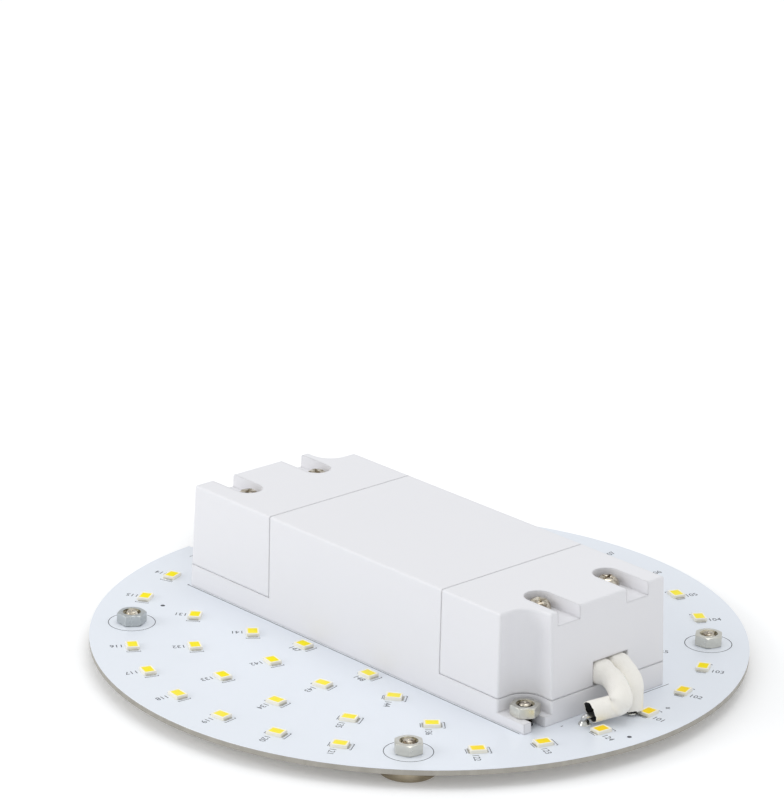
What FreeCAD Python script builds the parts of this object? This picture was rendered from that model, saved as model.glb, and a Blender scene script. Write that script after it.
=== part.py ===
import FreeCAD, Part
import Sketcher
import math
import os
import re

# Retrofit light-emitting module for a ceiling lamp: a round aluminium circuit board that
# carries 48 light-emitting diodes and a white plastic driver, and that is held to the
# lamp's steel pan by four ring magnets. The frame has its origin in the middle of the
# magnets' contact plane, +Z towards the diodes and +X towards the driver's output end.

Vector = FreeCAD.Vector
UP = Vector(0, 0, 1)
doc = FreeCAD.newDocument("ceiling_module")

# Driving dimensions, in millimetres

DIMENSIONS = [
    # Round board
    ("board_diameter", 140), ("base_thickness", 1.1), ("circuit_thickness", 0.1),
    ("notch_radius", 5.6), ("notch_setout", 0.6), ("rim_inset", 8.7),
    # Magnets, screws and nuts
    ("magnet_diameter", 12), ("magnet_height", 3), ("magnet_edge", 0.3),
    ("shank_diameter", 3), ("hole_diameter", 3.4), ("fit_gap", 0.05), ("countersink_gap", 0.1),
    ("sunk_head_diameter", 5.6), ("sunk_head_height", 1.65),
    ("nut_flats", 5.5), ("nut_height", 2.4), ("nut_bevel", 0.35), ("stick_out", 0.8),
    ("stud_cup", 0.9), ("stud_bevel", 0.3),
    ("pan_head_diameter", 5.2), ("pan_head_height", 2.1),
    # Light-emitting diodes
    ("third_row_gap", 15.25), ("inner_row_gap", 3.7), ("inner_along", 10.15),
    ("diode_length", 3.5), ("diode_width", 2.8), ("diode_height", 0.75),
    ("window_length", 2.9), ("window_width", 2.2), ("window_depth", 0.15), ("window_sink", 0.05),
    ("foot_length", 0.35), ("foot_width", 2.1), ("foot_height", 0.2),
    # Driver housing
    ("end_margin", 18), ("driver_width", 40.4), ("driver_height", 23.6), ("driver_shift", 0.4),
    ("wall", 1.8), ("floor_thickness", 2.2), ("split_height", 5.1), ("end_draft", 1.25),
    ("input_cap_length", 26), ("output_cap_length", 25), ("seam_gap", 0.12),
    ("edge_round", 0.45),
    ("recess_length", 7.8), ("recess_width", 7.75), ("recess_round", 4.5),
    ("ear_setback", 3.45), ("ear_inset", 3.9), ("ear_slot_width", 3.8),
    ("rail_height", 2.3), ("rail_width", 1.4), ("rail_setback", 2),
    # Cap screws and the slots that they sit in
    ("screw_inset", 9.8), ("screw_edge_far", 12.8), ("screw_edge_near", 7.9),
    ("slot_width", 6.2), ("slot_depth", 2.9), ("slot_floor", 1.8), ("boss_diameter", 6.4),
    ("cap_screw_head", 5), ("cap_screw_head_height", 2.2), ("cap_screw_shank", 2.9),
    ("cap_screw_length", 10), ("cross_width", 0.9), ("cross_span", 3.2), ("cross_depth", 1.2),
    # Leads
    ("lead_diameter", 5.8), ("lead_gap", 0.1), ("lead_side", 2.8),
    ("core_diameter", 2.1), ("strand_diameter", 1.2), ("strand_length", 4.5), ("link_diameter", 1.6),
    ("outlet_setback", 7.85), ("outlet_width", 10), ("outlet_height", 5.3),
    ("sleeve_diameter", 4.8), ("sleeve_wall", 0.5), ("wire_diameter", 1.2),
    ("joint_diameter", 2.8), ("joint_top", 1.8), ("joint_height", 0.7),
    # Driver's own circuit board
    ("card_end_gap", 15), ("card_side_gap", 0.4), ("card_thickness", 1.6), ("pad_inset", 1.2),
]

# Box-shaped parts on the driver's board: length, width, height, place along, and place
# across as a share of the way to the side wall
BOXED = {
    "fuse": (8.4, 4, 7.5, -19, -0.815),
    "safety_capacitor": (5, 13, 11, -21.5, 0.435),
    "rectifier": (8.5, 6.5, 3.2, -14, 0.49),
    "controller_chip": (5, 4, 1.5, -6.5, 0.49),
    "output_diode": (7, 6, 2.4, 20, 0.435),
}
# Upright round parts: diameter, room above them, place along, share across
ROUND = {
    "input_capacitor": (10, 1.7, -8.5, -0.55),
    "output_capacitor": (8, 3.2, 21.5, -0.49),
    "filter_choke": (9, 4.7, -17.5, -0.27),
}
# Transformer: size of the ferrite core, its limbs, and where it stands
TRANSFORMER = [
    ("core_length", 20), ("core_depth", 9), ("core_room", 1.7), ("core_limb", 3.2),
    ("centre_limb", 6), ("coil_gap", 0.15), ("former_wall", 0.6), ("coil_reach", 4.3),
    ("transformer_along", 7.6), ("pin_rail", 2.4),
]

for part_name, measures in BOXED.items():
    kinds = ("length", "width", "height", "along", "share")
    DIMENSIONS += [(f"{part_name}_{kind}", value) for kind, value in zip(kinds, measures)]
for part_name, measures in ROUND.items():
    kinds = ("diameter", "room", "along", "share")
    DIMENSIONS += [(f"{part_name}_{kind}", value) for kind, value in zip(kinds, measures)]
DIMENSIONS += TRANSFORMER

sheet = doc.addObject("Spreadsheet::Sheet", "Sizes")
for row, (alias, value) in enumerate(DIMENSIONS, 1):
    sheet.set(f"A{row}", alias)
    sheet.set(f"B{row}", str(value))
    sheet.setAlias(f"B{row}", alias)
doc.recompute()
ALIAS = re.compile(r"\b(" + "|".join(name for name, value in DIMENSIONS) + r")\b")

# Places and heights that several pieces share, as sheet formulas
BOARD_TOP = "(magnet_height + base_thickness + circuit_thickness)"
RIM_CIRCLE = "(board_diameter / 2 - rim_inset)"
HALF_DRIVER = "(board_diameter / 2 - end_margin)"
INPUT_END = f"(driver_shift - {HALF_DRIVER})"
OUTPUT_END = f"(driver_shift + {HALF_DRIVER})"
INPUT_SEAM = f"({INPUT_END} + input_cap_length)"
OUTPUT_SEAM = f"({OUTPUT_END} - output_cap_length)"
SPLIT_DRAFT = "(end_draft * split_height / driver_height)"
EAR_ALONG = f"({HALF_DRIVER} - ear_setback)"
EAR_ACROSS = "(driver_width / 2 - ear_inset)"
SCREW_WIDE = "(driver_width / 2 - screw_edge_near)"
SCREW_NARROW = "(driver_width / 2 - screw_edge_far)"
OUTLET_MIDDLE = f"({SCREW_WIDE} - outlet_setback)"
BOSS_TOP = "(driver_height - slot_depth - slot_floor)"
CARD_TOP = "(floor_thickness + rail_height + card_thickness)"
HEADROOM = f"(driver_height - wall - {CARD_TOP})"


def size(alias):
    """One driving dimension as a number."""
    return float(sheet.get(alias))


def bind(thing, path, text):
    """Ties a property to the sheet, so that it follows when a size is changed."""
    thing.setExpression(path, ALIAS.sub(r"Sizes.\1", text))


def new_body(label):
    body = doc.addObject("PartDesign::Body", label)
    body.Label = label
    return body


def new_sketch(body, role, raised="0"):
    """A sketch on one of the body's own origin planes, moved along the plane's normal."""
    sketch = body.newObject("Sketcher::SketchObject", body.Name + "_sketch")
    planes = [item for item in body.Origin.OriginFeatures if item.Role == role]
    sketch.AttachmentSupport = [(planes[0], "")]
    sketch.MapMode = "FlatFace"
    bind(sketch, "AttachmentOffset.Base.z", raised)
    return sketch


def outline(sketch, corners):
    """A closed outline of straight edges through corners given as pairs of formulas."""
    count = len(corners)
    first = sketch.GeometryCount
    turns = [2 * math.pi * index / count for index in range(count)]
    spots = [Vector(math.cos(turn), math.sin(turn), 0) for turn in turns]
    for index in range(count):
        sketch.addGeometry(Part.LineSegment(spots[index], spots[(index + 1) % count]))
    for index in range(count):
        following = first + (index + 1) % count
        sketch.addConstraint(Sketcher.Constraint("Coincident", first + index, 2, following, 1))
    for index, (across, up) in enumerate(corners):
        for kind, text, start in (("DistanceX", across, spots[index].x), ("DistanceY", up, spots[index].y)):
            place = sketch.addConstraint(Sketcher.Constraint(kind, -1, 1, first + index, 1, start))
            bind(sketch, f"Constraints[{place}]", text)


def rectangle(sketch, low_x, high_x, low_y, high_y):
    outline(sketch, [(low_x, low_y), (high_x, low_y), (high_x, high_y), (low_x, high_y)])


def circle(sketch, across, along="0", side="0"):
    """A circle of the given diameter about the point (along, side)."""
    edge = sketch.addGeometry(Part.Circle(Vector(0, 0, 0), UP, 1))
    for kind, text in (("DistanceX", along), ("DistanceY", side)):
        place = sketch.addConstraint(Sketcher.Constraint(kind, -1, 1, edge, 3, 0))
        bind(sketch, f"Constraints[{place}]", text)
    place = sketch.addConstraint(Sketcher.Constraint("Diameter", edge, 2))
    bind(sketch, f"Constraints[{place}]", across)


def extrude(body, kind, sketch, length, both_ways=False, turned=False):
    """A pad or pocket of the sketch; turned sends it the other way along the normal."""
    feature = body.newObject("PartDesign::" + kind, body.Name + "_" + kind.lower())
    feature.Profile = sketch
    feature.SideType = "Symmetric" if both_ways else "One side"
    feature.Reversed = turned
    bind(feature, "Length", length)
    return feature


def revolve(body, corners):
    """A solid of revolution about Z from a profile of (radius, height) corners."""
    sketch = new_sketch(body, "XZ_Plane")
    outline(sketch, corners)
    feature = body.newObject("PartDesign::Revolution", body.Name + "_turned")
    feature.Profile = sketch
    feature.ReferenceAxis = (sketch, ["V_Axis"])
    feature.Angle = 360
    return feature


def round_edges(body, radius, chosen):
    """Rounds the edges of the body's last feature that chosen picks."""
    doc.recompute()
    base = body.Tip
    names = [f"Edge{number}" for number, edge in enumerate(base.Shape.Edges, 1) if chosen(edge)]
    feature = body.newObject("PartDesign::Fillet", body.Name + "_round")
    feature.Base = (base, names)
    bind(feature, "Radius", radius)


def place(thing, along="0", across="0", height="0"):
    for axis, text in (("x", along), ("y", across), ("z", height)):
        bind(thing, f"Placement.Base.{axis}", text)


def plain_box(label, spans):
    """A block given by its low and high formulas along X, Y and Z."""
    block = doc.addObject("Part::Box", label)
    block.Label = label
    for side, axis, (low, high) in zip(("Length", "Width", "Height"), "xyz", spans):
        bind(block, side, f"({high}) - ({low})")
        bind(block, f"Placement.Base.{axis}", low)
    return block


def joined(label, kind, pieces):
    """A boolean of several pieces: MultiFuse of Shapes, or Cut of Base and Tool."""
    result = doc.addObject("Part::" + kind, label)
    result.Label = label
    if kind == "MultiFuse":
        result.Shapes = pieces
    else:
        result.Base, result.Tool = pieces
    return result


nodes = []


def add_shape(label, shape):
    """A node whose shape comes from a route or a group of loose copies."""
    item = doc.addObject("Part::Feature", label)
    item.Shape = shape
    item.Label = label
    nodes.append(item)


# Aluminium board: a blanked disc with a half-round cable notch in its rim

MAGNET_SPOT = f"({RIM_CIRCLE} / sqrt(2))"
FIXING_HOLES = [(f"{MAGNET_SPOT} * {x}", f"{MAGNET_SPOT} * {y}") for x in (1, -1) for y in (1, -1)]
FIXING_HOLES += [(EAR_ALONG, f"-{EAR_ACROSS}"), (f"-{EAR_ALONG}", EAR_ACROSS)]


def board_layer(label, thickness, height):
    """One layer of the board, with its six screw holes and the notch."""
    body = new_body(label)
    blank = new_sketch(body, "XY_Plane")
    circle(blank, "board_diameter")
    for along, side in FIXING_HOLES:
        circle(blank, "hole_diameter", along, side)
    extrude(body, "Pad", blank, thickness)
    notch = new_sketch(body, "XY_Plane")
    circle(notch, "notch_radius * 2", "-board_diameter / 2 - notch_setout")
    extrude(body, "Pocket", notch, thickness, turned=True)
    place(body, height=height)
    nodes.append(body)


board_layer("aluminium_base", "base_thickness", "magnet_height")
board_layer("circuit_layer", "circuit_thickness", "magnet_height + base_thickness")

# Ring magnets, their countersunk screws and hexagon nuts


def ring_magnet(label, along, across):
    """A nickel-plated ring with a countersunk hole that opens downwards."""
    body = new_body(label)
    sunk = "sunk_head_diameter / 2 + countersink_gap"
    revolve(body, [
        (sunk, "0"),
        ("magnet_diameter / 2 - magnet_edge", "0"),
        ("magnet_diameter / 2", "magnet_edge"),
        ("magnet_diameter / 2", "magnet_height - magnet_edge"),
        ("magnet_diameter / 2 - magnet_edge", "magnet_height"),
        ("hole_diameter / 2", "magnet_height"),
        ("hole_diameter / 2", f"{sunk} - hole_diameter / 2"),
    ])
    place(body, along, across)
    nodes.append(body)


STUD_END = [
    ("shank_diameter / 2", "{top} - stud_bevel"),
    ("shank_diameter / 2 - stud_bevel", "{top}"),
    ("stud_cup", "{top}"),
    ("0", "{top} - stud_cup"),
]


def stud_end(top):
    """The bevelled screw end with the small cone that the thread cutter's centre leaves."""
    return [(radius, height.format(top=top)) for radius, height in STUD_END]


def countersunk_screw(label, along, across):
    body = new_body(label)
    low = "countersink_gap"
    top = f"({BOARD_TOP} + nut_height + stick_out)"
    corners = [("0", low), ("sunk_head_diameter / 2", low)]
    corners += [("shank_diameter / 2", f"{low} + sunk_head_diameter / 2 - shank_diameter / 2")]
    revolve(body, corners + stud_end(top))
    place(body, along, across)
    nodes.append(body)


def hexagon_nut(label, along, across, height):
    """A hexagon bored through, with the corners of both faces turned off to a cone."""
    body = new_body(label)
    hexagon = new_sketch(body, "XY_Plane")
    turns = [math.radians(60 * index) for index in range(6)]
    corners = [(f"{math.cos(turn) / math.cos(math.radians(30)):.9f} * nut_flats / 2",
                f"{math.sin(turn) / math.cos(math.radians(30)):.9f} * nut_flats / 2") for turn in turns]
    outline(hexagon, corners)
    circle(hexagon, "shank_diameter + 2 * fit_gap")
    extrude(body, "Pad", hexagon, "nut_height")
    for low, high in (("nut_bevel", "0"), ("nut_height - nut_bevel", "nut_height")):
        bevel = new_sketch(body, "XZ_Plane")
        outline(bevel, [("nut_flats / 2", high), ("nut_flats", high), ("nut_flats", low),
                        ("nut_flats / 2 + nut_bevel * 1.732", low)])
        groove = body.newObject("PartDesign::Groove", body.Name + "_bevel")
        groove.Profile = bevel
        groove.ReferenceAxis = (bevel, ["V_Axis"])
        groove.Angle = 360
    place(body, along, across, height)
    nodes.append(body)


for number, (along, across) in enumerate(FIXING_HOLES[:4], 1):
    ring_magnet(f"magnet_{number}", along, across)
    countersunk_screw(f"magnet_screw_{number}", along, across)
    hexagon_nut(f"magnet_nut_{number}", along, across, BOARD_TOP)

# Screws and nuts that clamp the driver's two ears to the board


def pan_head(across, height, low):
    """Profile of a domed screw head that hangs below its seat."""
    return [
        ("0", low),
        (f"{across} * 0.34", low),
        (f"{across} * 0.47", f"{low} + {height} * 0.4"),
        (f"{across} / 2", f"{low} + {height}"),
    ]


for number, (along, across) in enumerate(FIXING_HOLES[4:], 1):
    screw = new_body(f"driver_screw_{number}")
    head_low = "(magnet_height - pan_head_height)"
    screw_top = f"({BOARD_TOP} + floor_thickness + nut_height + stick_out)"
    corners = pan_head("pan_head_diameter", "pan_head_height", head_low)
    revolve(screw, corners + [("shank_diameter / 2", "magnet_height")] + stud_end(screw_top))
    place(screw, along, across)
    nodes.append(screw)
    hexagon_nut(f"driver_nut_{number}", along, across, f"{BOARD_TOP} + floor_thickness")

# Light-emitting diodes: each a white cup with a recessed phosphor window and two tinned
# feet, its length along the circle that it stands on

board_top = size("magnet_height") + size("base_thickness") + size("circuit_thickness")


def block(length, width, low, high, along=0):
    """A box centred on the diode's own axes, between two heights above the board."""
    corner = Vector(along - length / 2, -width / 2, board_top + low)
    return Part.makeBox(length, width, high - low, corner)


def diode_cup():
    cup = block(size("diode_length"), size("diode_width"), 0, size("diode_height"))
    low = size("diode_height") - size("window_depth")
    return [cup.cut(block(size("window_length"), size("window_width"), low, size("diode_height")))]


def diode_window():
    low = size("diode_height") - size("window_depth")
    high = size("diode_height") - size("window_sink")
    return [block(size("window_length"), size("window_width"), low, high)]


def diode_feet():
    reach = (size("diode_length") + size("foot_length")) / 2
    return [block(size("foot_length"), size("foot_width"), 0, size("foot_height"), side * reach)
            for side in (-1, 1)]


def on_circle(radius, degrees):
    """Places on a circle, each turned so that its X axis follows the circle."""
    places = []
    for angle in degrees:
        spot = Vector(radius * math.cos(math.radians(angle)), radius * math.sin(math.radians(angle)), 0)
        places.append(FreeCAD.Placement(spot, FreeCAD.Rotation(UP, angle + 90)))
    return places


# The outer circle has 28 even places, and the magnet nuts take the four at the diagonals
OUTER_STEP = 360 / 28
outer_angles = [OUTER_STEP * (index + 0.5) for index in range(28) if index % 7 != 3]
second_angles = [side + turn for side in (90, 270) for turn in (-50, -30, -10, 10, 30, 50)]
third_angles = [side + OUTER_STEP * step for side in (90, 270) for step in (-3, -1, 1, 3)]
inner_across = size("driver_width") / 2 + size("inner_row_gap")
inner_places = [
    FreeCAD.Placement(Vector(size("inner_along") * x, inner_across * y, 0), FreeCAD.Rotation(UP, 0))
    for x, y in ((1, 1), (-1, 1), (-1, -1), (1, -1))
]
outer_circle = size("board_diameter") / 2 - size("rim_inset")
third_circle = size("driver_width") / 2 + size("third_row_gap")
diode_rows = {
    "outer": on_circle(outer_circle, outer_angles),
    "second": on_circle((outer_circle + third_circle) / 2, second_angles),
    "third": on_circle(third_circle, third_angles),
    "inner": inner_places,
}
for row_name, places in diode_rows.items():
    for piece_name, make in (("cups", diode_cup), ("windows", diode_window), ("feet", diode_feet)):
        copies = []
        for spot in places:
            for shape in make():
                shape.Placement = spot.multiply(shape.Placement)
                copies.append(shape)
        add_shape(f"diode_{piece_name}_{row_name}", Part.makeCompound(copies))

# Main housing: a moulded tray, raised to a closed tunnel in the middle, with an open
# compartment and a slotted ear at each end

SCREW_SPOTS = [
    (f"({OUTPUT_END} - screw_inset)", SCREW_WIDE),
    (f"({OUTPUT_END} - screw_inset)", f"-{SCREW_NARROW}"),
    (f"({INPUT_END} + screw_inset)", f"-{SCREW_WIDE}"),
    (f"({INPUT_END} + screw_inset)", SCREW_NARROW),
]

housing = new_body("main_housing")
side_view = new_sketch(housing, "XZ_Plane")
outline(side_view, [
    (INPUT_END, "0"),
    (OUTPUT_END, "0"),
    (f"{OUTPUT_END} - {SPLIT_DRAFT}", "split_height"),
    (OUTPUT_SEAM, "split_height"),
    (OUTPUT_SEAM, "driver_height"),
    (INPUT_SEAM, "driver_height"),
    (INPUT_SEAM, "split_height"),
    (f"{INPUT_END} + {SPLIT_DRAFT}", "split_height"),
])
extrude(housing, "Pad", side_view, "driver_width", both_ways=True)

INNER_SIDE = "(driver_width / 2 - wall)"
OUTPUT_INNER = f"({OUTPUT_END} - end_draft - wall)"
INPUT_INNER = f"({INPUT_END} + end_draft + wall)"
cavity = new_sketch(housing, "XY_Plane", "floor_thickness")
outline(cavity, [
    (INPUT_INNER, f"-{INNER_SIDE}"),
    (f"{OUTPUT_END} - recess_length - wall", f"-{INNER_SIDE}"),
    (f"{OUTPUT_END} - recess_length - wall", f"recess_width - {INNER_SIDE}"),
    (OUTPUT_INNER, f"recess_width - {INNER_SIDE}"),
    (OUTPUT_INNER, INNER_SIDE),
    (f"{INPUT_END} + recess_length + wall", INNER_SIDE),
    (f"{INPUT_END} + recess_length + wall", f"{INNER_SIDE} - recess_width"),
    (INPUT_INNER, f"{INNER_SIDE} - recess_width"),
])
extrude(housing, "Pocket", cavity, "driver_height - wall - floor_thickness", turned=True)

corner_recess = new_sketch(housing, "XY_Plane", "floor_thickness")
rectangle(corner_recess, f"{OUTPUT_END} - recess_length", f"{OUTPUT_END} + wall",
          "-driver_width / 2 - wall", "recess_width - driver_width / 2")
rectangle(corner_recess, f"{INPUT_END} - wall", f"{INPUT_END} + recess_length",
          "driver_width / 2 - recess_width", "driver_width / 2 + wall")
extrude(housing, "Pocket", corner_recess, "split_height", turned=True)

half_driver = size("board_diameter") / 2 - size("end_margin")
recess_corners = [
    (size("driver_shift") + side * (half_driver - size("recess_length")),
     side * (size("recess_width") - size("driver_width") / 2)) for side in (1, -1)
]


def at_recess(edge):
    """True for the upright edge in the inner corner of an ear's recess."""
    middle = edge.BoundBox.Center
    upright = edge.BoundBox.XLength < 0.01 and edge.BoundBox.YLength < 0.01
    return upright and any(math.dist((middle.x, middle.y), spot) < 0.05 for spot in recess_corners)


round_edges(housing, "recess_round", at_recess)

ear_slots = new_sketch(housing, "XY_Plane")
rectangle(ear_slots, EAR_ALONG, f"{OUTPUT_END} + wall",
          f"-{EAR_ACROSS} - ear_slot_width / 2", f"-{EAR_ACROSS} + ear_slot_width / 2")
rectangle(ear_slots, f"{INPUT_END} - wall", f"-{EAR_ALONG}",
          f"{EAR_ACROSS} - ear_slot_width / 2", f"{EAR_ACROSS} + ear_slot_width / 2")
extrude(housing, "Pocket", ear_slots, "floor_thickness + wall", turned=True)
slot_ends = new_sketch(housing, "XY_Plane")
for along, side in FIXING_HOLES[4:]:
    circle(slot_ends, "ear_slot_width", along, side)
extrude(housing, "Pocket", slot_ends, "floor_thickness + wall", turned=True)

bosses = new_sketch(housing, "XY_Plane", "floor_thickness")
for along, side in SCREW_SPOTS:
    circle(bosses, "boss_diameter", along, side)
    circle(bosses, "cap_screw_shank + 2 * fit_gap", along, side)
extrude(housing, "Pad", bosses, f"{BOSS_TOP} - floor_thickness")

# The tunnel's long top edges and the tray's outer upright corners are softly rounded
outer_corners = []
for side in (1, -1):
    end = size("driver_shift") + side * half_driver
    edge = side * size("driver_width") / 2
    outer_corners += [(end, edge), (end, -edge), (end - side * size("recess_length"), -edge),
                      (end, side * size("recess_width") - edge)]


def soft(edge):
    """True for the tunnel's long top edges and for an upright edge at an outer corner."""
    box = edge.BoundBox
    on_top = box.ZMin > size("driver_height") - 0.01 and box.YLength < 0.01
    upright = box.ZLength > size("floor_thickness") and box.ZMax < size("split_height") + 0.01
    at_corner = any(math.dist((box.Center.x, box.Center.y), spot) < 0.4 for spot in outer_corners)
    return on_top or (upright and at_corner)


round_edges(housing, "edge_round", soft)

rails = new_sketch(housing, "XY_Plane", "floor_thickness")
for low, high in ((f"-{INNER_SIDE}", f"rail_width - {INNER_SIDE}"),
                  (f"{INNER_SIDE} - rail_width", INNER_SIDE)):
    rectangle(rails, f"{INPUT_SEAM} + rail_setback", f"{OUTPUT_SEAM} - rail_setback", low, high)
extrude(housing, "Pad", rails, "rail_height")
place(housing, height=BOARD_TOP)
nodes.append(housing)

# End caps: moulded shells over the two end compartments, alike but for length and outlet


def end_cap(label, cap_length, outlet):
    """A cap in its own frame, with X = 0 at the seam and X = cap_length at its end."""
    body = new_body(label)
    half = "driver_width / 2"
    front = new_sketch(body, "XZ_Plane")
    outline(front, [
        ("seam_gap", "split_height + seam_gap"),
        (f"{cap_length} - {SPLIT_DRAFT}", "split_height + seam_gap"),
        (f"{cap_length} - end_draft", "driver_height"),
        ("seam_gap", "driver_height"),
    ])
    extrude(body, "Pad", front, "driver_width", both_ways=True)
    inside = new_sketch(body, "XY_Plane", "split_height")
    outline(inside, [
        ("0", f"-{INNER_SIDE}"),
        (f"{cap_length} - recess_length - wall", f"-{INNER_SIDE}"),
        (f"{cap_length} - recess_length - wall", f"recess_width - {INNER_SIDE}"),
        (f"{cap_length} - end_draft - wall", f"recess_width - {INNER_SIDE}"),
        (f"{cap_length} - end_draft - wall", INNER_SIDE),
        ("0", INNER_SIDE),
    ])
    extrude(body, "Pocket", inside, "driver_height - wall - split_height", turned=True)

    # Thickened ceiling under the two screw slots
    screw_along = f"({cap_length} - screw_inset)"
    sides = (SCREW_WIDE, f"-{SCREW_NARROW}")
    ceiling = new_sketch(body, "XY_Plane", "driver_height - wall")
    for side in sides:
        rectangle(ceiling, f"{screw_along} - slot_width / 2 - wall", f"{cap_length} - end_draft - wall / 2",
                  f"{side} - slot_width / 2 - wall * 0.6", f"{side} + slot_width / 2 + wall * 0.6")
    extrude(body, "Pad", ceiling, "slot_depth + slot_floor - wall", turned=True)

    corner = new_sketch(body, "XY_Plane")
    rectangle(corner, f"{cap_length} - recess_length", f"{cap_length} + wall",
              f"-{half} - wall", f"recess_width - {half}")
    extrude(body, "Pocket", corner, "driver_height + wall", turned=True)
    inner_corner = (size(cap_length) - size("recess_length"), size("recess_width") - size("driver_width") / 2)

    def in_corner(edge):
        box = edge.BoundBox
        upright = box.XLength < 0.01 and box.YLength < 0.01
        return upright and math.dist((box.Center.x, box.Center.y), inner_corner) < 0.05

    round_edges(body, "recess_round", in_corner)

    # Open slots in the top, so that a screwdriver reaches the sunk screws
    open_slots = new_sketch(body, "XY_Plane", "driver_height")
    for side in sides:
        rectangle(open_slots, screw_along, f"{cap_length} + wall",
                  f"{side} - slot_width / 2", f"{side} + slot_width / 2")
    extrude(body, "Pocket", open_slots, "slot_depth")
    round_ends = new_sketch(body, "XY_Plane", "driver_height")
    for side in sides:
        circle(round_ends, "slot_width", screw_along, side)
    extrude(body, "Pocket", round_ends, "slot_depth")
    screw_holes = new_sketch(body, "XY_Plane", "driver_height")
    for side in sides:
        circle(screw_holes, "cap_screw_shank + 4 * fit_gap", screw_along, side)
    extrude(body, "Pocket", screw_holes, "driver_height - split_height")
    outlet(body, cap_length)

    # The outer rim of the top and the outer upright corners are softly rounded
    top = size("driver_height")
    side = size("driver_width") / 2
    far = size(cap_length) - size("end_draft")

    def soft(edge):
        box = edge.BoundBox
        on_side = box.YMin > side - 0.01 or box.YMax < 0.01 - side
        on_end = box.XMin > far - 0.01
        on_recess = box.XMin > inner_corner[0] - 0.01 and box.YMax < inner_corner[1] + 0.01
        on_rim = box.ZMin > top - 0.01 and (on_side or on_end or on_recess)
        on_corner = box.ZLength > top / 2 and box.XMin > 1 and (on_side or on_end)
        return on_rim or on_corner

    round_edges(body, "edge_round", soft)
    return body


def wire_outlet(body, cap_length):
    """A square mouth above the split for the two sleeved output wires."""
    mouth = new_sketch(body, "YZ_Plane", cap_length)
    rectangle(mouth, f"{OUTLET_MIDDLE} - outlet_width / 2", f"{OUTLET_MIDDLE} + outlet_width / 2",
              "split_height", "split_height + outlet_height")
    extrude(body, "Pocket", mouth, "end_draft + wall * 1.5")


def lead_outlet(body, cap_length):
    """A round-topped mouth above the split for the supply lead."""
    mouth = new_sketch(body, "YZ_Plane", cap_length)
    circle(mouth, "lead_diameter + 4 * lead_gap", "lead_side", "split_height + lead_diameter / 2 + lead_gap")
    extrude(body, "Pocket", mouth, "end_draft + wall * 1.5")


output_cap = end_cap("output_cap", "output_cap_length", wire_outlet)
place(output_cap, OUTPUT_SEAM, height=BOARD_TOP)
input_cap = end_cap("input_cap", "input_cap_length", lead_outlet)
input_cap.Placement.Rotation = FreeCAD.Rotation(UP, 180)
place(input_cap, INPUT_SEAM, height=BOARD_TOP)
nodes += [output_cap, input_cap]

# Cap screws: pan heads with a cross recess, driven into the housing's bosses

for number, (along, side) in enumerate(SCREW_SPOTS, 1):
    screw = new_body(f"cap_screw_{number}")
    head = "cap_screw_head"
    revolve(screw, [
        ("0", "-cap_screw_length"),
        ("cap_screw_shank / 4", "-cap_screw_length"),
        ("cap_screw_shank / 2", "-cap_screw_length + cap_screw_shank / 2"),
        ("cap_screw_shank / 2", "0"),
        (f"{head} / 2", "0"),
        (f"{head} / 2", "cap_screw_head_height * 0.35"),
        (f"{head} * 0.42", "cap_screw_head_height * 0.75"),
        (f"{head} * 0.28", "cap_screw_head_height"),
        ("0", "cap_screw_head_height"),
    ])
    recess = new_sketch(screw, "XY_Plane", "cap_screw_head_height")
    long_half, thin_half = "cross_span / 2", "cross_width / 2"
    outline(recess, [
        (thin_half, thin_half), (thin_half, long_half), (f"-{thin_half}", long_half),
        (f"-{thin_half}", thin_half), (f"-{long_half}", thin_half), (f"-{long_half}", f"-{thin_half}"),
        (f"-{thin_half}", f"-{thin_half}"), (f"-{thin_half}", f"-{long_half}"),
        (thin_half, f"-{long_half}"), (thin_half, f"-{thin_half}"), (long_half, f"-{thin_half}"),
        (long_half, thin_half),
    ])
    extrude(screw, "Pocket", recess, "cross_depth")
    place(screw, along, side, f"{BOARD_TOP} + driver_height - slot_depth")
    nodes.append(screw)

# Driver's circuit board and the parts that stand on it

card_seat = f"({BOARD_TOP} + floor_thickness + rail_height)"
card_face = f"({BOARD_TOP} + {CARD_TOP})"
nodes.append(plain_box("driver_board", [
    (f"{INPUT_END} + card_end_gap", f"{OUTPUT_END} - card_end_gap"),
    (f"card_side_gap - {INNER_SIDE}", f"{INNER_SIDE} - card_side_gap"),
    (card_seat, card_face),
]))
for name in BOXED:
    nodes.append(plain_box(name, [
        (f"{name}_along - {name}_length / 2", f"{name}_along + {name}_length / 2"),
        (f"{name}_share * {INNER_SIDE} - {name}_width / 2",
         f"{name}_share * {INNER_SIDE} + {name}_width / 2"),
        (card_face, f"{card_face} + {name}_height"),
    ]))
for name in ("input_capacitor", "output_capacitor"):
    can = new_body(name)
    radius, height = f"{name}_diameter / 2", f"({HEADROOM} - {name}_room)"
    revolve(can, [
        ("0", "0"), (radius, "0"), (radius, f"{height} * 0.12"), (f"{radius} * 0.92", f"{height} * 0.17"),
        (radius, f"{height} * 0.22"), (radius, f"{height} - 0.5"), (f"{radius} - 0.5", height),
        ("0", height),
    ])
    place(can, f"{name}_along", f"{name}_share * {INNER_SIDE}", card_face)
    nodes.append(can)
choke = new_body("filter_choke")
radius, height = "filter_choke_diameter / 2", f"({HEADROOM} - filter_choke_room)"
revolve(choke, [
    ("0", "0"), (radius, "0"), (radius, f"{height} * 0.15"), (f"{radius} * 0.85", f"{height} * 0.15"),
    (f"{radius} * 0.85", f"{height} * 0.85"), (radius, f"{height} * 0.85"), (radius, height),
    ("0", height),
])
place(choke, "filter_choke_along", f"filter_choke_share * {INNER_SIDE}", card_face)
nodes.append(choke)

# Transformer: a ferrite frame with a middle limb, a moulded coil former round that limb
# with pin rails down to the board, and the taped winding between the former's flanges

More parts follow.
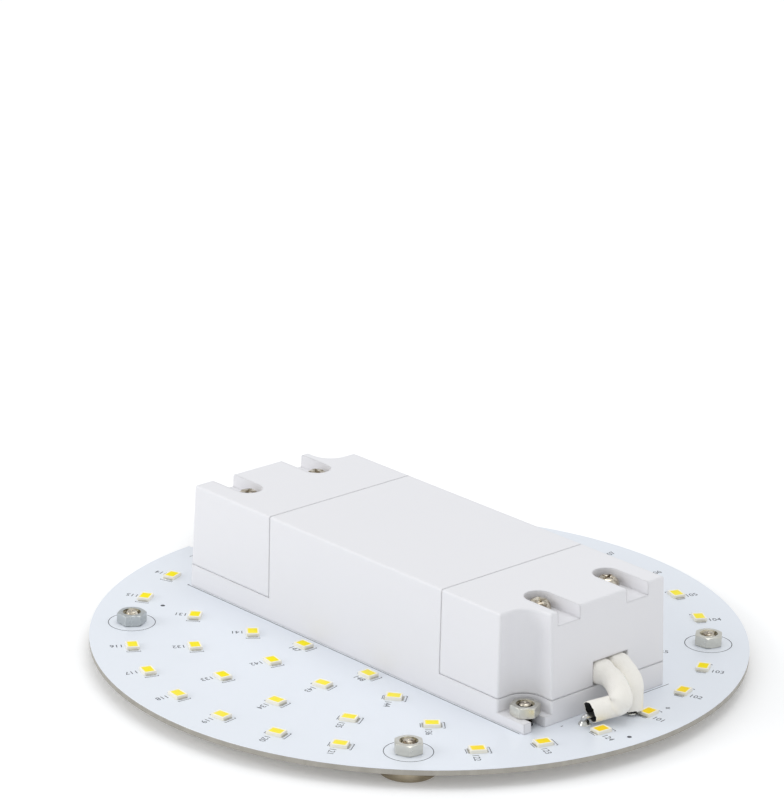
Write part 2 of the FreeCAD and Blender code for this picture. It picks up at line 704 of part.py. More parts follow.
MID_X = "transformer_along"
CORE_TOP = f"({card_face} + {HEADROOM} - core_room)"
COIL_LOW = f"({card_face} + core_limb + coil_gap)"
COIL_HIGH = f"({CORE_TOP} - core_limb - coil_gap)"


def centred(reach_x, reach_y, low, high):
    return [(f"{MID_X} - ({reach_x})", f"{MID_X} + ({reach_x})"),
            (f"-({reach_y})", reach_y), (low, high)]


ferrite = plain_box("ferrite_block", centred("core_length / 2", "core_depth / 2",
                                             card_face, CORE_TOP))
windows = [
    plain_box(f"ferrite_window_{number}", [
        (f"{MID_X} + {low}", f"{MID_X} + {high}"),
        ("-core_depth", "core_depth"),
        (f"{card_face} + core_limb", f"{CORE_TOP} - core_limb"),
    ])
    for number, (low, high) in enumerate((("centre_limb / 2", "core_length / 2 - core_limb"),
                                          ("core_limb - core_length / 2", "-centre_limb / 2")), 1)
]
nodes.append(joined("transformer_core", "Cut", (ferrite, joined("both_windows", "MultiFuse", windows))))

TUBE_X = "centre_limb / 2 + coil_gap + former_wall"
TUBE_Y = "core_depth / 2 + coil_gap + former_wall"
FLANGE_X = "core_length / 2 - core_limb - coil_gap"
FLANGE_Y = "core_depth / 2 + coil_reach"
former_solids = [
    plain_box("former_tube", centred(TUBE_X, TUBE_Y, COIL_LOW, COIL_HIGH)),
    plain_box("former_foot", centred(FLANGE_X, FLANGE_Y, COIL_LOW, f"{COIL_LOW} + former_wall")),
    plain_box("former_head", centred(FLANGE_X, FLANGE_Y, f"{COIL_HIGH} - former_wall", COIL_HIGH)),
]
for number, side in enumerate(("", "-"), 1):
    edge = f"{side}({FLANGE_Y})"
    inner = f"{side}({FLANGE_Y} - pin_rail)"
    low, high = (inner, edge) if side == "" else (edge, inner)
    former_solids.append(plain_box(f"former_rail_{number}", [
        (f"{MID_X} - ({FLANGE_X})", f"{MID_X} + {FLANGE_X}"),
        (low, high),
        (card_face, COIL_LOW),
    ]))
former_hole = plain_box("former_hole", centred("centre_limb / 2 + coil_gap", "core_depth / 2 + coil_gap",
                                               card_face, CORE_TOP))
former_block = joined("former_block", "MultiFuse", former_solids)
nodes.append(joined("coil_former", "Cut", (former_block, former_hole)))

coil_outer = plain_box("coil_outer", centred(FLANGE_X, f"{FLANGE_Y} - former_wall",
                                             f"{COIL_LOW} + former_wall", f"{COIL_HIGH} - former_wall"))
coil_hole = plain_box("coil_hole", centred(TUBE_X, TUBE_Y, COIL_LOW, COIL_HIGH))
nodes.append(joined("coil_winding", "Cut", (coil_outer, coil_hole)))

# Wires and leads. A route is a list of corner points; each corner becomes an arc that
# starts 0.45 of the shorter run away from it, so the arc's radius is that length divided
# by the tangent of half the turn


def centre_line(points):
    """Straight runs joined by tangent arcs, as one wire, with the arcs' radii."""
    points = [Vector(*point) for point in points]
    edges, radii = [], []
    start = points[0]
    for before, corner, after in zip(points, points[1:], points[2:]):
        arriving = (corner - before).normalize()
        leaving = (after - corner).normalize()
        setback = 0.45 * min((corner - before).Length, (after - corner).Length)
        turn = arriving.getAngle(leaving)
        radius = setback / math.tan(turn / 2)
        radii.append(radius)
        arc_start = corner - arriving * setback
        arc_end = corner + leaving * setback
        bulge = (leaving - arriving).normalize()
        apex = corner + bulge * (math.hypot(radius, setback) - radius)
        edges.append(Part.LineSegment(start, arc_start).toShape())
        edges.append(Part.Arc(arc_start, apex, arc_end).toShape())
        start = arc_end
    edges.append(Part.LineSegment(start, points[-1]).toShape())
    return Part.Wire(edges), radii


def sweep(label, points, diameter, bore=0):
    """A round section, hollow where a bore is given, carried along the route."""
    line, radii = centre_line(points)
    start = Vector(*points[0])
    heading = Vector(*points[1]) - start
    solids = []
    for across in (diameter, bore):
        if across:
            section = Part.Wire([Part.makeCircle(across / 2, start, heading)])
            solids.append(line.makePipeShell([section], True, False))
    shape = solids[0].cut(solids[1]) if bore else solids[0]
    expected = math.pi * (diameter ** 2 - bore ** 2) / 4 * line.Length
    if abs(shape.Volume - expected) > 0.02 * expected:
        raise ValueError(f"{label}: volume {shape.Volume:.2f}, expected {expected:.2f}")
    listed = ", ".join(f"{radius:.1f}" for radius in radii)
    print(f"{label}: length {line.Length:.1f}, radii {listed}")
    return shape


def tube(label, points, diameter, bore=0):
    add_shape(label, sweep(label, points, diameter, bore))


card_top = board_top + size("floor_thickness") + size("rail_height") + size("card_thickness")
mouth_height = board_top + size("split_height") + size("outlet_height") / 2
joint_top = board_top + size("joint_height")
input_end = size("driver_shift") - half_driver
output_end = size("driver_shift") + half_driver
output_pad = output_end - size("card_end_gap") - size("pad_inset")
sleeve_start = output_end - size("end_draft") - size("wall") - 2.2

# The two output wires leave side by side; one turns back to the joint beside the driver,
# the other dips straight down beyond it
outlet_middle = size("driver_width") / 2 - size("screw_edge_near") - size("outlet_setback")
near_side = outlet_middle - size("sleeve_diameter") / 2 - size("fit_gap")
far_side = outlet_middle + size("sleeve_diameter") / 2 + size("fit_gap")
near_bends = [
    (output_end + 5.0, near_side, mouth_height),
    (output_end + 8.0, near_side - 3.6, mouth_height - 1.7),
]
near_end = Vector(output_end + 5.2, -6.9, board_top + 2.9)
near_turn = near_end + (near_end - Vector(*near_bends[1])).normalize() * 1.5
near_joint = (output_end + 2.9, -7.6)
far_bends = [
    (output_end + 3.4, far_side, mouth_height + 0.4),
    (output_end + 6.4, far_side - 0.5, mouth_height - 2.4),
]
far_joint = (output_end + 5.8, 4.6)
far_end = (*far_joint, board_top + 1.9)
sleeve_bore = size("sleeve_diameter") - 2 * size("sleeve_wall")

tube("sleeve_near", [(sleeve_start, near_side, mouth_height), *near_bends, tuple(near_end)],
     size("sleeve_diameter"), sleeve_bore)
tube("sleeve_far", [(sleeve_start, far_side, mouth_height), *far_bends, far_end],
     size("sleeve_diameter"), sleeve_bore)
tube("output_wire_near", [
    (output_pad, near_side, card_top), (output_pad, near_side, mouth_height), *near_bends,
    tuple(near_turn), (*near_joint, board_top + 2.4), (*near_joint, joint_top),
], size("wire_diameter"))
tube("output_wire_far", [
    (output_pad, far_side, card_top), (output_pad, far_side, mouth_height), *far_bends,
    (*far_joint, board_top + 2.6), (*far_joint, joint_top),
], size("wire_diameter"))

joints = []
for spot in (near_joint, far_joint):
    joints.append(Part.makeCone(size("joint_diameter") / 2, size("joint_top") / 2, size("joint_height"),
                                Vector(*spot, board_top)))
add_shape("solder_joints", Part.makeCompound(joints))

# Supply lead: it leaves the input cap level, passes over the notch, comes down beside the
# board and curls round it; its jacket is stripped back from two cores with tinned ends.
# The route is laid for an input end at -51.6 and moves along with that end
LEAD_ROUTE = [
    (-46.5, -2.8, 12.3), (-54.5, -2.8, 12.3), (-62.2, -0.8, 12.2), (-69.2, 3.0, 11.6),
    (-75.0, 8.5, 10.3), (-79.3, 15.3, 8.5), (-81.7, 23.0, 6.5), (-82.1, 31.2, 4.7),
    (-80.4, 39.6, 3.4), (-76.6, 47.3, 2.9), (-72.6, 52.6, 2.9),
]
lead_points = [Vector(x + input_end + 51.6, y, z) for x, y, z in LEAD_ROUTE]
tube("supply_lead", [tuple(point) for point in lead_points], size("lead_diameter"))
lead_end = lead_points[-1]
lead_heading = (lead_end - lead_points[-2]).normalize()
lead_side = UP.cross(lead_heading)
core_rest = size("core_diameter") / 2
spread = size("core_diameter") / 2 + size("lead_gap")
tinned = []
for name, side in (("live", 1), ("neutral", -1)):
    first = lead_end + lead_side * (side * spread)
    route = [first, first + lead_heading * 4]
    for reach, swing in ((8.5, 0.5), (12.5, 1.5)):
        spot = first + lead_heading * reach + lead_side * (side * swing)
        spot.z = core_rest
        route.append(spot)
    tube(f"{name}_core", [tuple(spot) for spot in route], size("core_diameter"))
    tip_heading = route[-1] - route[-2]
    tinned.append(Part.makeCylinder(size("strand_diameter") / 2, size("strand_length"), route[-1],
                                    tip_heading))
add_shape("tinned_ends", Part.makeCompound(tinned))

# Inside the input cap the two cores run on from the jacket's end to the driver's board
inner_start = lead_points[0]
input_pad = input_end + size("card_end_gap") + size("pad_inset")
links = []
for side in (-1, 1):
    across = inner_start.y + side * spread
    route = [(inner_start.x, across, inner_start.z), (input_pad, across, inner_start.z),
             (input_pad, across, card_top)]
    links.append(sweep("core_link", route, size("link_diameter")))
add_shape("core_links", Part.makeCompound(links))

# Every feature has to be sound before anything is written

doc.recompute()
for item in doc.Objects:
    if "Invalid" in item.State or "Error" in item.State:
        raise ValueError(f"{item.Label} failed: {item.State}")
    if item.TypeId in ("PartDesign::Pocket", "PartDesign::Groove"):
        if item.Shape.Volume > item.BaseFeature.Shape.Volume - 1e-3:
            raise ValueError(f"{item.Label} cuts nothing")
for item in nodes:
    if item.Shape.isNull() or not item.Shape.isValid():
        raise ValueError(f"{item.Label} has no valid shape")
os.makedirs("parts", exist_ok=True)
for item in nodes:
    item.Shape.exportStep(f"parts/{item.Label}.step")
count = sum(len(item.Shape.Solids) for item in nodes)
print(f"{len(nodes)} nodes, {count} solids")
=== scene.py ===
import bmesh
import bpy
import math
import numpy as np
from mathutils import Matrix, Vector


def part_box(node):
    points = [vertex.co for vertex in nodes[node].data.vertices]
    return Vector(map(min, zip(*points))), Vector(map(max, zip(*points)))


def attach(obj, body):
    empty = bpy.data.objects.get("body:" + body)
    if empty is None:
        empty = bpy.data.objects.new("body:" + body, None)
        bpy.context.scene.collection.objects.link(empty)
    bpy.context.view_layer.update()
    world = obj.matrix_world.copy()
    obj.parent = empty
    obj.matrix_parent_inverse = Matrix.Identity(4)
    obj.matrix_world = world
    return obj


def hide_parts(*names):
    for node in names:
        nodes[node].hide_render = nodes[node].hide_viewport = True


# Round light-emitting module for a ceiling lamp, dressed over its solids. Lengths are in
# millimetres where a shape is worked out, and MM turns them into metres in the mesh.

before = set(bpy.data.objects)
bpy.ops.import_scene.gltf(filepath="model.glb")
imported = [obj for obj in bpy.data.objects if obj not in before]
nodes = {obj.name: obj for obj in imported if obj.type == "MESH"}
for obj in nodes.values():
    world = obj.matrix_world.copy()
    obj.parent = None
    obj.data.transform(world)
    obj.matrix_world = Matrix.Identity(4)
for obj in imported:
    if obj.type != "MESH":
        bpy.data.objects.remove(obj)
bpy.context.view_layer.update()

# The view: a long lens, a little above the board, towards the driver's output end.

camera = bpy.data.objects.new("camera", bpy.data.cameras.new("camera"))
camera.data.lens = 178.3
camera.data.sensor_width = 36
camera.data.clip_start = 0.05
camera.data.clip_end = 20
camera.location = (0.56427, -0.53713, 0.32763)
camera.rotation_euler = [math.radians(turn) for turn in (70.797157, -1.325007, 47.390047)]
bpy.context.scene.collection.objects.link(camera)
bpy.context.scene.camera = camera
bpy.context.scene.view_settings.view_transform = "Standard"

# Supply lead: a black round cable whose two insulated cores come out of it side by side.
# It is pushed level into the input cap, passes over the board's notch and lies down round
# the board. Its line is a smooth curve that the route's points pull into shape.

MM = 0.001


class Number:
    """What a node's socket gives. Arithmetic on it adds Math nodes to the same tree."""

    def __init__(self, owner, socket):
        self.owner = owner
        self.socket = socket

    def _math(self, operation, first, second=0.0):
        return self.owner.add("ShaderNodeMath", {"operation": operation}, {0: first, 1: second})

    def __add__(self, other):
        return self._math("ADD", self, other)

    def __sub__(self, other):
        return self._math("SUBTRACT", self, other)

    def __mul__(self, other):
        return self._math("MULTIPLY", self, other)

    def __rsub__(self, other):
        return self._math("SUBTRACT", other, self)

    __radd__ = __add__
    __rmul__ = __mul__

    def above(self, level):
        return self._math("GREATER_THAN", self, level)

    def wave(self):
        return self._math("SINE", self)

    def size(self):
        return self._math("ABSOLUTE", self)

    def larger(self, other):
        return self._math("MAXIMUM", self, other)


class Tree:
    """A node tree to which one method adds any kind of node."""

    def __init__(self, tree):
        self.tree = tree

    @staticmethod
    def pick(sockets, name):
        """A socket by its number, or the first one with that identifier or name."""
        if isinstance(name, int):
            return sockets[name]
        return [each for each in sockets if name in (each.identifier, each.name)][0]

    def add(self, kind, settings=None, sockets=None, out=0):
        """Adds one node. Settings are set first, then its sockets get values or links."""
        node = self.tree.nodes.new(kind)
        for name, value in (settings or {}).items():
            setattr(node, name, value)
        for name, value in (sockets or {}).items():
            self.feed(node, name, value)
        return Number(self, self.pick(node.outputs, out))

    def feed(self, node, name, value):
        """Links a socket of a node, or sets it. A colour of three numbers gets its fourth."""
        socket = self.pick(node.inputs, name)
        if isinstance(value, Number):
            self.tree.links.new(value.socket, socket)
        elif isinstance(value, tuple) and len(value) == 3 and socket.type == "RGBA":
            socket.default_value = (*value, 1)
        else:
            socket.default_value = value


class Finish(Tree):
    """A material of nodes around one Principled shader."""

    def __init__(self, name, **constants):
        self.material = bpy.data.materials.new(name)
        self.material.use_nodes = True
        super().__init__(self.material.node_tree)
        self.shader = self.tree.nodes["Principled BSDF"]
        self.finish(**constants)

    def place(self, stretch=(1, 1, 1)):
        """The object's own coordinates, stretched along each axis."""
        spot = self.add("ShaderNodeTexCoord", out="Object")
        return self.add("ShaderNodeMapping", {}, {"Vector": spot, "Scale": stretch}, "Vector")

    def axis(self, vector, name):
        """One axis of a vector, as a number."""
        return self.add("ShaderNodeSeparateXYZ", {}, {"Vector": vector}, name)

    def grid(self, name):
        """The share of the way round a patch on X, or along its rows on Y."""
        return self.axis(self.add("ShaderNodeUVMap", {"uv_map": "grid"}, out="UV"), name)

    def grain(self, per_metre, detail=2.0, roughness=0.5, stretch=(1, 1, 1)):
        """Noise from 0 to 1 with so many features in a metre."""
        return self.add("ShaderNodeTexNoise", {}, {
            "Vector": self.place(stretch), "Scale": per_metre, "Detail": detail,
            "Roughness": roughness})

    def blend(self, mask, first, second):
        """A colour between two colours."""
        return self.add("ShaderNodeMix", {"data_type": "RGBA"}, {
            "Factor_Float": mask, "A_Color": first, "B_Color": second}, "Result_Color")

    def relief(self, height, depth_mm, edge_mm=0.0):
        """Raises the surface by height times a depth, over edges rounded to a radius."""
        sockets = {"Height": height, "Distance": depth_mm * MM, "Strength": 1.0}
        if edge_mm:
            sockets["Normal"] = self.add(
                "ShaderNodeBevel", {"samples": 6}, {"Radius": edge_mm * MM})
        return self.add("ShaderNodeBump", {}, sockets)

    def finish(self, **values):
        """Sets sockets of the shader, or links what varies over the surface to them."""
        for socket, value in values.items():
            self.feed(self.shader, socket.replace("_", " "), value)
        return self.material


def plastic_jacket(name, colour, lighter, shine=0.42):
    """Extruded soft plastic: drawn lines along it are too fine to see, a faint grain stays."""
    skin = Finish(name, IOR=1.47)
    mottle = skin.grain(260, 3)
    return skin.finish(Base_Color=skin.blend(mottle, colour, lighter),
                       Roughness=mottle * 0.2 + shine,
                       Normal=skin.relief(skin.grain(2600, 2), 0.015))


def own(piece, finish, slot, *replaced):
    """A new piece of the object: its finish and the nodes it stands for. The slot is not used."""
    piece.data.materials.clear()
    piece.data.materials.append(finish)
    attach(piece, "root")
    if replaced:
        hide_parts(*replaced)
    return piece


def smooth_line(name, points, diameter):
    """A round cord whose line is a quadratic NURBS spline over the points."""
    curve = bpy.data.curves.new(name, "CURVE")
    curve.dimensions = "3D"
    spline = curve.splines.new("NURBS")
    spline.points.add(len(points) - 1)
    for control, point in zip(spline.points, points):
        control.co = (*point, 1)
    spline.order_u = 3
    spline.use_endpoint_u = True
    spline.resolution_u = 24
    curve.bevel_depth = diameter / 2
    curve.bevel_resolution = 8
    curve.use_fill_caps = True
    piece = bpy.data.objects.new(name, curve)
    bpy.context.scene.collection.objects.link(piece)
    return piece


LEAD_ROUTE = [
    (-0.0465, -0.0028, 0.0123), (-0.0545, -0.0028, 0.0123), (-0.0622, -0.0008, 0.0119),
    (-0.0692, 0.0030, 0.0106), (-0.0750, 0.0085, 0.0086), (-0.0793, 0.0153, 0.0064),
    (-0.0817, 0.0230, 0.0046), (-0.0821, 0.0312, 0.0034), (-0.0804, 0.0396, 0.0029),
    (-0.0766, 0.0473, 0.0029), (-0.0726, 0.0526, 0.0029),
]
LEAD_DIAMETER = 0.0058
lead = smooth_line("lead_jacket", LEAD_ROUTE, LEAD_DIAMETER)
own(lead, plastic_jacket("black_jacket", (0.012, 0.012, 0.013), (0.022, 0.022, 0.024)),
    "lead_jacket", "supply_lead")

# Cores: brown and blue insulation over tinned strands, spread a little where the jacket
# has been stripped off. Each tinned end is a twist of seven strands.

tip = np.array(LEAD_ROUTE[-1])
heading = np.array([0.602, 0.798, 0.0])
sideways = np.array([-0.798, 0.602, 0.0])
CORE_DIAMETER = 0.0021
CORE_SPREAD = 0.00115
CORE_START, CORE_STRAIGHT = 0.0015, 0.004
CORE_BENDS = ((0.0085, 0.0005), (0.0125, 0.0015))
core_ends = []
for core, side, dark, light in (("live", 1, (0.10, 0.034, 0.012), (0.16, 0.058, 0.022)),
                                ("neutral", -1, (0.010, 0.055, 0.26), (0.018, 0.09, 0.36))):
    start = tip + sideways * side * CORE_SPREAD
    route = [start - heading * CORE_START, start + heading * CORE_STRAIGHT]
    for reach, swing in CORE_BENDS:
        point = start + heading * reach + sideways * side * swing
        point[2] = CORE_DIAMETER / 2
        route.append(point)
    piece = smooth_line(f"{core}_insulation", route, CORE_DIAMETER)
    own(piece, plastic_jacket(f"{core}_colour", dark, light, 0.3),
        f"{core}_insulation", f"{core}_core")
    core_ends.append((route[-1], (route[-1] - route[-2]) / np.linalg.norm(route[-1] - route[-2])))


def skin(name, patches, sharp=40.0):
    """A mesh piece of grid patches, given in millimetres as (copy, row, column, xyz).

    Columns close on themselves. A column step crossed with a row step points outwards.
    Each patch writes u as the share of the way round and v as the share along its rows.
    Rows that shrink to a point are merged, so poles and seams are closed.
    """
    points, quads, maps = [], [], []
    first = 0
    for patch in patches:
        patch = patch if patch.ndim == 4 else patch[None]
        copies, rows, columns, _ = patch.shape
        copy, row, column = np.meshgrid(
            np.arange(copies), np.arange(rows - 1), np.arange(columns), indexing="ij")
        start = first + copy * rows * columns + row * columns
        following = (column + 1) % columns
        quads.append(np.stack([start + column, start + following, start + columns + following,
                               start + columns + column], -1).reshape(-1, 4))
        left, right = column / columns, (column + 1) / columns
        low, high = row / (rows - 1), (row + 1) / (rows - 1)
        maps.append(np.stack([left, low, right, low, right, high, left, high], -1).reshape(-1, 2))
        points.append(patch.reshape(-1, 3))
        first += copies * rows * columns
    points, quads, maps = (np.concatenate(each) for each in (points, quads, maps))
    mesh = bpy.data.meshes.new(name)
    mesh.vertices.add(len(points))
    mesh.vertices.foreach_set("co", (points * MM).ravel())
    mesh.loops.add(quads.size)
    mesh.loops.foreach_set("vertex_index", quads.ravel())
    mesh.polygons.add(len(quads))
    mesh.polygons.foreach_set("loop_start", np.arange(0, quads.size, 4))
    mesh.uv_layers.new(name="grid").data.foreach_set("uv", maps.ravel())
    mesh.update(calc_edges=True)
    work = bmesh.new()
    work.from_mesh(mesh)
    bmesh.ops.remove_doubles(work, verts=work.verts, dist=1e-7)
    work.to_mesh(mesh)
    work.free()
    mesh.shade_smooth()
    mesh.set_sharp_from_angle(angle=math.radians(sharp))
    piece = bpy.data.objects.new(name, mesh)
    bpy.context.scene.collection.objects.link(piece)
    return piece


def frames(line, reference):
    """Directions along a line and two across it, the first of them level with reference."""
    along = np.gradient(line, axis=0)
    along /= np.linalg.norm(along, axis=1)[:, None]
    side = np.cross(np.broadcast_to(reference, along.shape), along)
    side /= np.linalg.norm(side, axis=1)[:, None]
    return along, side, np.cross(along, side)


def tube(line, radius, columns, reference=(0, 0, 1)):
    """A round skin about a line: point = line + radius * (cos turn * side + sin turn * up).

    radius is a number, or an array with a value for each row and column.
    """
    _, side, up = frames(line, np.array(reference, float))
    turn = np.arange(columns) * 2 * math.pi / columns
    radius = np.broadcast_to(radius, (len(line), columns))[..., None]
    outwards = np.cos(turn)[:, None] * side[:, None] + np.sin(turn)[:, None] * up[:, None]
    return line[:, None] + radius * outwards


def closed(rows_of_points):
    """Adds a pole at each end of a patch, so that it closes."""
    first = rows_of_points[:1].mean(axis=1, keepdims=True).repeat(rows_of_points.shape[1], 1)
    last = rows_of_points[-1:].mean(axis=1, keepdims=True).repeat(rows_of_points.shape[1], 1)
    return np.concatenate([first, rows_of_points, last])


def metal(name, colour, darker, low, high, per_metre=900, depth=0.004, edge=0.0, contrast=1.0):
    """Bare or plated metal with drifting shine and a fine worked grain."""
    plate = Finish(name, Metallic=1.0)
    drift = plate.grain(per_metre, 3, 0.6)
    return plate.finish(Base_Color=plate.blend((drift - 0.5) * contrast + 0.5, colour, darker),
                        Roughness=drift * (high - low) + low,
                        Normal=plate.relief(plate.grain(per_metre * 4, 2, 0.6), depth, edge))


STRANDS = 6
STRAND_DIAMETER = 0.4
STRAND_LAY = 7.0
STRAND_START, STRAND_END = -1.0, 4.5
strand_patches = []
tinned = metal("tinned_strands", (0.70, 0.70, 0.69), (0.52, 0.52, 0.51), 0.22, 0.42)
for end, direction in core_ends:
    end = end / MM
    along = np.linspace(STRAND_START, STRAND_END, 34)[:, None]
    across = np.cross(direction, (0, 0, 1))
    across /= np.linalg.norm(across)
    upward = np.cross(across, direction)
    middle = end + along * direction
    strand_patches.append(closed(tube(middle, STRAND_DIAMETER / 2, 8)))
    for strand in range(STRANDS):
        turn = 2 * math.pi * (strand / STRANDS + along / STRAND_LAY)
        line = middle + STRAND_DIAMETER * (np.cos(turn) * across + np.sin(turn) * upward)
        strand_patches.append(closed(tube(line, STRAND_DIAMETER / 2, 8)))
tips = own(skin("twisted_ends", strand_patches), tinned, "tinned_copper", "tinned_ends")

# Ring magnets: sintered rings, ground flat and nickel-plated, with a countersunk hole for
# the screw's head in the contact face.

nickel = metal("magnet_plate", (0.47, 0.41, 0.31), (0.33, 0.28, 0.20), 0.12, 0.28, 300,
               depth=0.006, edge=0.25, contrast=1.8)


def refinish(finish, *names):
    """Puts a finish on solids that stay as they are."""
    for name in names:
        nodes[name].data.materials.clear()
        nodes[name].data.materials.append(finish)


refinish(nickel, *[f"magnet_{number}" for number in (1, 2, 3, 4)])

# Machine screws: cold-headed steel with a cross recess and a rolled M3 thread, plated with
# bright nickel whose glints and dark reflections are painted into its colour. Four countersunk
# ones go up through the magnets, and two pan-headed ones through the driver's ears.

PITCH = 0.5
THREAD_DEPTH = 0.28
FADE = 0.35
TIP_TAPER = 0.30
UP = np.array([0, 0, 1.0])


def turned(profile, columns):
    """A surface of revolution about Z through (radius, height) rows."""
    profile = np.array(profile, float)
    turn = np.arange(columns) * 2 * math.pi / columns
    ring = np.stack([np.cos(turn), np.sin(turn), np.zeros(columns)], -1)
    return profile[:, 0, None, None] * ring + profile[:, 1, None, None] * UP


def thread(low, high, outer, columns=36, steps=8):
    """A rolled thread: radius = outer - depth * a triangle wave of (height / pitch - turn).

    The wave has flats at its crests and roots, dies away towards both ends, and the last
    turn tapers in to the tip.
    """
    rows = int((high - low) / PITCH * steps) + 1
    height = np.linspace(low, high, rows)[:, None]
    turn = np.arange(columns)[None, :] / columns
    wave = np.abs(((height / PITCH - turn) % 1) - 0.5) * 2
    crest = np.clip(wave * 1.25 - 0.1, 0, 1)
    fade = np.clip(np.minimum(height - low, high - height) / FADE, 0, 1)
    taper = 1 - np.clip((high - height) / TIP_TAPER, 0, 1)
    radius = outer - THREAD_DEPTH * crest * fade - TIP_TAPER * taper
    angle = 2 * math.pi * turn
    return np.stack([radius * np.cos(angle), radius * np.sin(angle), height + 0 * radius], -1)


def cross_ring(half_length, half_width, height, turn):
    """A cross's outline: the nearer of an arm's end and an arm's side, from the middle."""
    folded = np.abs((turn + math.pi / 4) % (math.pi / 2) - math.pi / 4)
    side = half_width / np.maximum(np.sin(folded), 1e-6)
    reach = np.minimum(half_length / np.cos(folded), side)
    return np.stack([reach * np.cos(turn), reach * np.sin(turn), np.full_like(turn, height)], -1)


def cross_turns(half_length, half_width):
    """Turns that hit every corner of the cross, with a few between them."""
    corner = math.atan2(half_width, half_length)
    quarter = np.array([-corner, -corner * 0.5, 0, corner * 0.5, corner, corner * 1.5,
                        (corner * 1.5 + math.pi / 4) / 2, math.pi / 4,
                        (math.pi / 2 - corner * 1.5 + math.pi / 4) / 2,
                        math.pi / 2 - corner * 1.5])
    return np.concatenate([quarter + math.pi / 2 * side for side in range(4)])


def recessed_face(rim_rows, half_length, half_width, depth):
    """A head's face, from its rim in to a tapered cross recess and its floor.

    rim_rows are (radius, height) rows from the rim inwards, the last at the recess's mouth.
    """
    turn = cross_turns(half_length, half_width)
    ring = np.stack([np.cos(turn), np.sin(turn), 0 * turn], -1)
    rows = [radius * ring + height * UP for radius, height in rim_rows]
    mouth = rim_rows[-1][1]
    rows.append(cross_ring(half_length * 1.05, half_width * 1.12, mouth, turn))
    rows.append(cross_ring(half_length, half_width, mouth - 0.06, turn))
    rows.append(cross_ring(half_length * 0.78, half_width * 0.8, mouth - depth * 0.72, turn))
    rows.append(cross_ring(half_length * 0.42, half_width * 0.72, mouth - depth * 0.95, turn))
    rows.append(0 * rows[-1] + (mouth - depth) * UP)
    return np.array(rows)


def at(patch, x, y, z=0.0, flipped=False):
    """A patch moved to its place, or first turned upside down about X."""
    if flipped:
        patch = patch * np.array([1, -1, -1])
    return patch + np.array([x, y, z])


# The nickel's colour is mottled at high contrast between a pale tone and a dark brown: painted
# glints and painted dark reflections.
NICKEL_GLINT, NICKEL_DARK_REFLECTION = (0.84, 0.78, 0.66), (0.20, 0.155, 0.11)
GLINT_CONTRAST = 3.2
bright = metal("nickel_painted_glints", NICKEL_GLINT, NICKEL_DARK_REFLECTION, 0.08, 0.22, 800, depth=0.008,
               contrast=GLINT_CONTRAST)
BOARD_TOP = 4.2
MAGNET_SPOT = 61.3 / math.sqrt(2)
FIXINGS = [(MAGNET_SPOT, MAGNET_SPOT), (MAGNET_SPOT, -MAGNET_SPOT),
           (-MAGNET_SPOT, MAGNET_SPOT), (-MAGNET_SPOT, -MAGNET_SPOT)]
SHANK = 1.5
SUNK_RADIUS = 2.8
NUT_HEIGHT = 2.4
STUD_SUNK = 0.1
STUD_TOP = BOARD_TOP + NUT_HEIGHT - STUD_SUNK


def domed_tip(top):
    """The rounded end of a rolled thread, from its last turn in to a small dimple."""
    return [(SHANK - 0.33, top), (1.08, top + 0.14), (0.85, top + 0.25), (0.55, top + 0.3),
            (0.36, top + 0.28), (0.22, top + 0.12), (0.0, top + 0.04)]


stud_tip = domed_tip(STUD_TOP)
for number, (x, y) in enumerate(FIXINGS, 1):
    face = recessed_face([(SUNK_RADIUS, -0.15), (SUNK_RADIUS - 0.05, -0.1), (2.1, -0.1)],
                         1.55, 0.36, 1.1)
    cone = turned([(SUNK_RADIUS, 0.15), (SUNK_RADIUS, 0.25), (SHANK, 1.42), (SHANK, 1.5)], 40)
    screw = [at(face, x, y, flipped=True), at(cone, x, y), at(thread(1.5, STUD_TOP, SHANK), x, y),
             at(turned(stud_tip, 36), x, y)]
    own(skin(f"sunk_screw_{number}", screw), bright, "nickel_steel", f"magnet_screw_{number}")

FLOOR = 2.2
EAR_TOP = BOARD_TOP + FLOOR
EAR_SPOTS = [(48.55, -16.3), (-48.55, 16.3)]
ear_stud = EAR_TOP + NUT_HEIGHT - STUD_SUNK
ear_tip = domed_tip(ear_stud)
# The ear screws' threads are painted near-black below 8.6 mm as painted shade down in the ears'
# slots; above that they take the nickel with its painted glints and dark reflections.
shank_shade = Finish("thread_painted_shade", Metallic=1.0)
shank_grain = shank_shade.grain(900, 2)
PAINTED_SHADE_UP_TO = 8.6 * MM
above_painted_shade = shank_shade.axis(shank_shade.place(), "Z").above(PAINTED_SHADE_UP_TO)
glinting_nickel_tone = shank_shade.blend((shank_grain - 0.5) * GLINT_CONTRAST + 0.5, NICKEL_GLINT, NICKEL_DARK_REFLECTION)
shaded_thread_finish = shank_shade.finish(Base_Color=shank_shade.blend(above_painted_shade, (0.045, 0.035, 0.026), glinting_nickel_tone),
                            Roughness=shank_grain * 0.15 + 0.1, Normal=shank_shade.relief(shank_grain, 0.006))
for number, (x, y) in enumerate(EAR_SPOTS, 1):
    pan = [(2.6, -2.95), (2.52, -2.35), (2.2, -1.55), (1.75, -1.05), (1.62, -0.95)]
    face = recessed_face(pan, 1.5, 0.36, 1.2)
    seat = turned([(2.6, 2.95), (2.55, 3.0), (SHANK, 3.0)], 40)
    screw = [at(face, x, y, flipped=True), at(seat, x, y), at(thread(3.0, ear_stud, SHANK), x, y),
             at(turned(ear_tip, 36), x, y)]
    own(skin(f"ear_screw_{number}", screw), shaded_thread_finish, "nickel_steel",
        f"driver_screw_{number}")

# Board: a disc blanked from aluminium sheet. Its rim shows the sheared metal and its
# underside the rolled grain; the face carries the printed circuit under white resist.

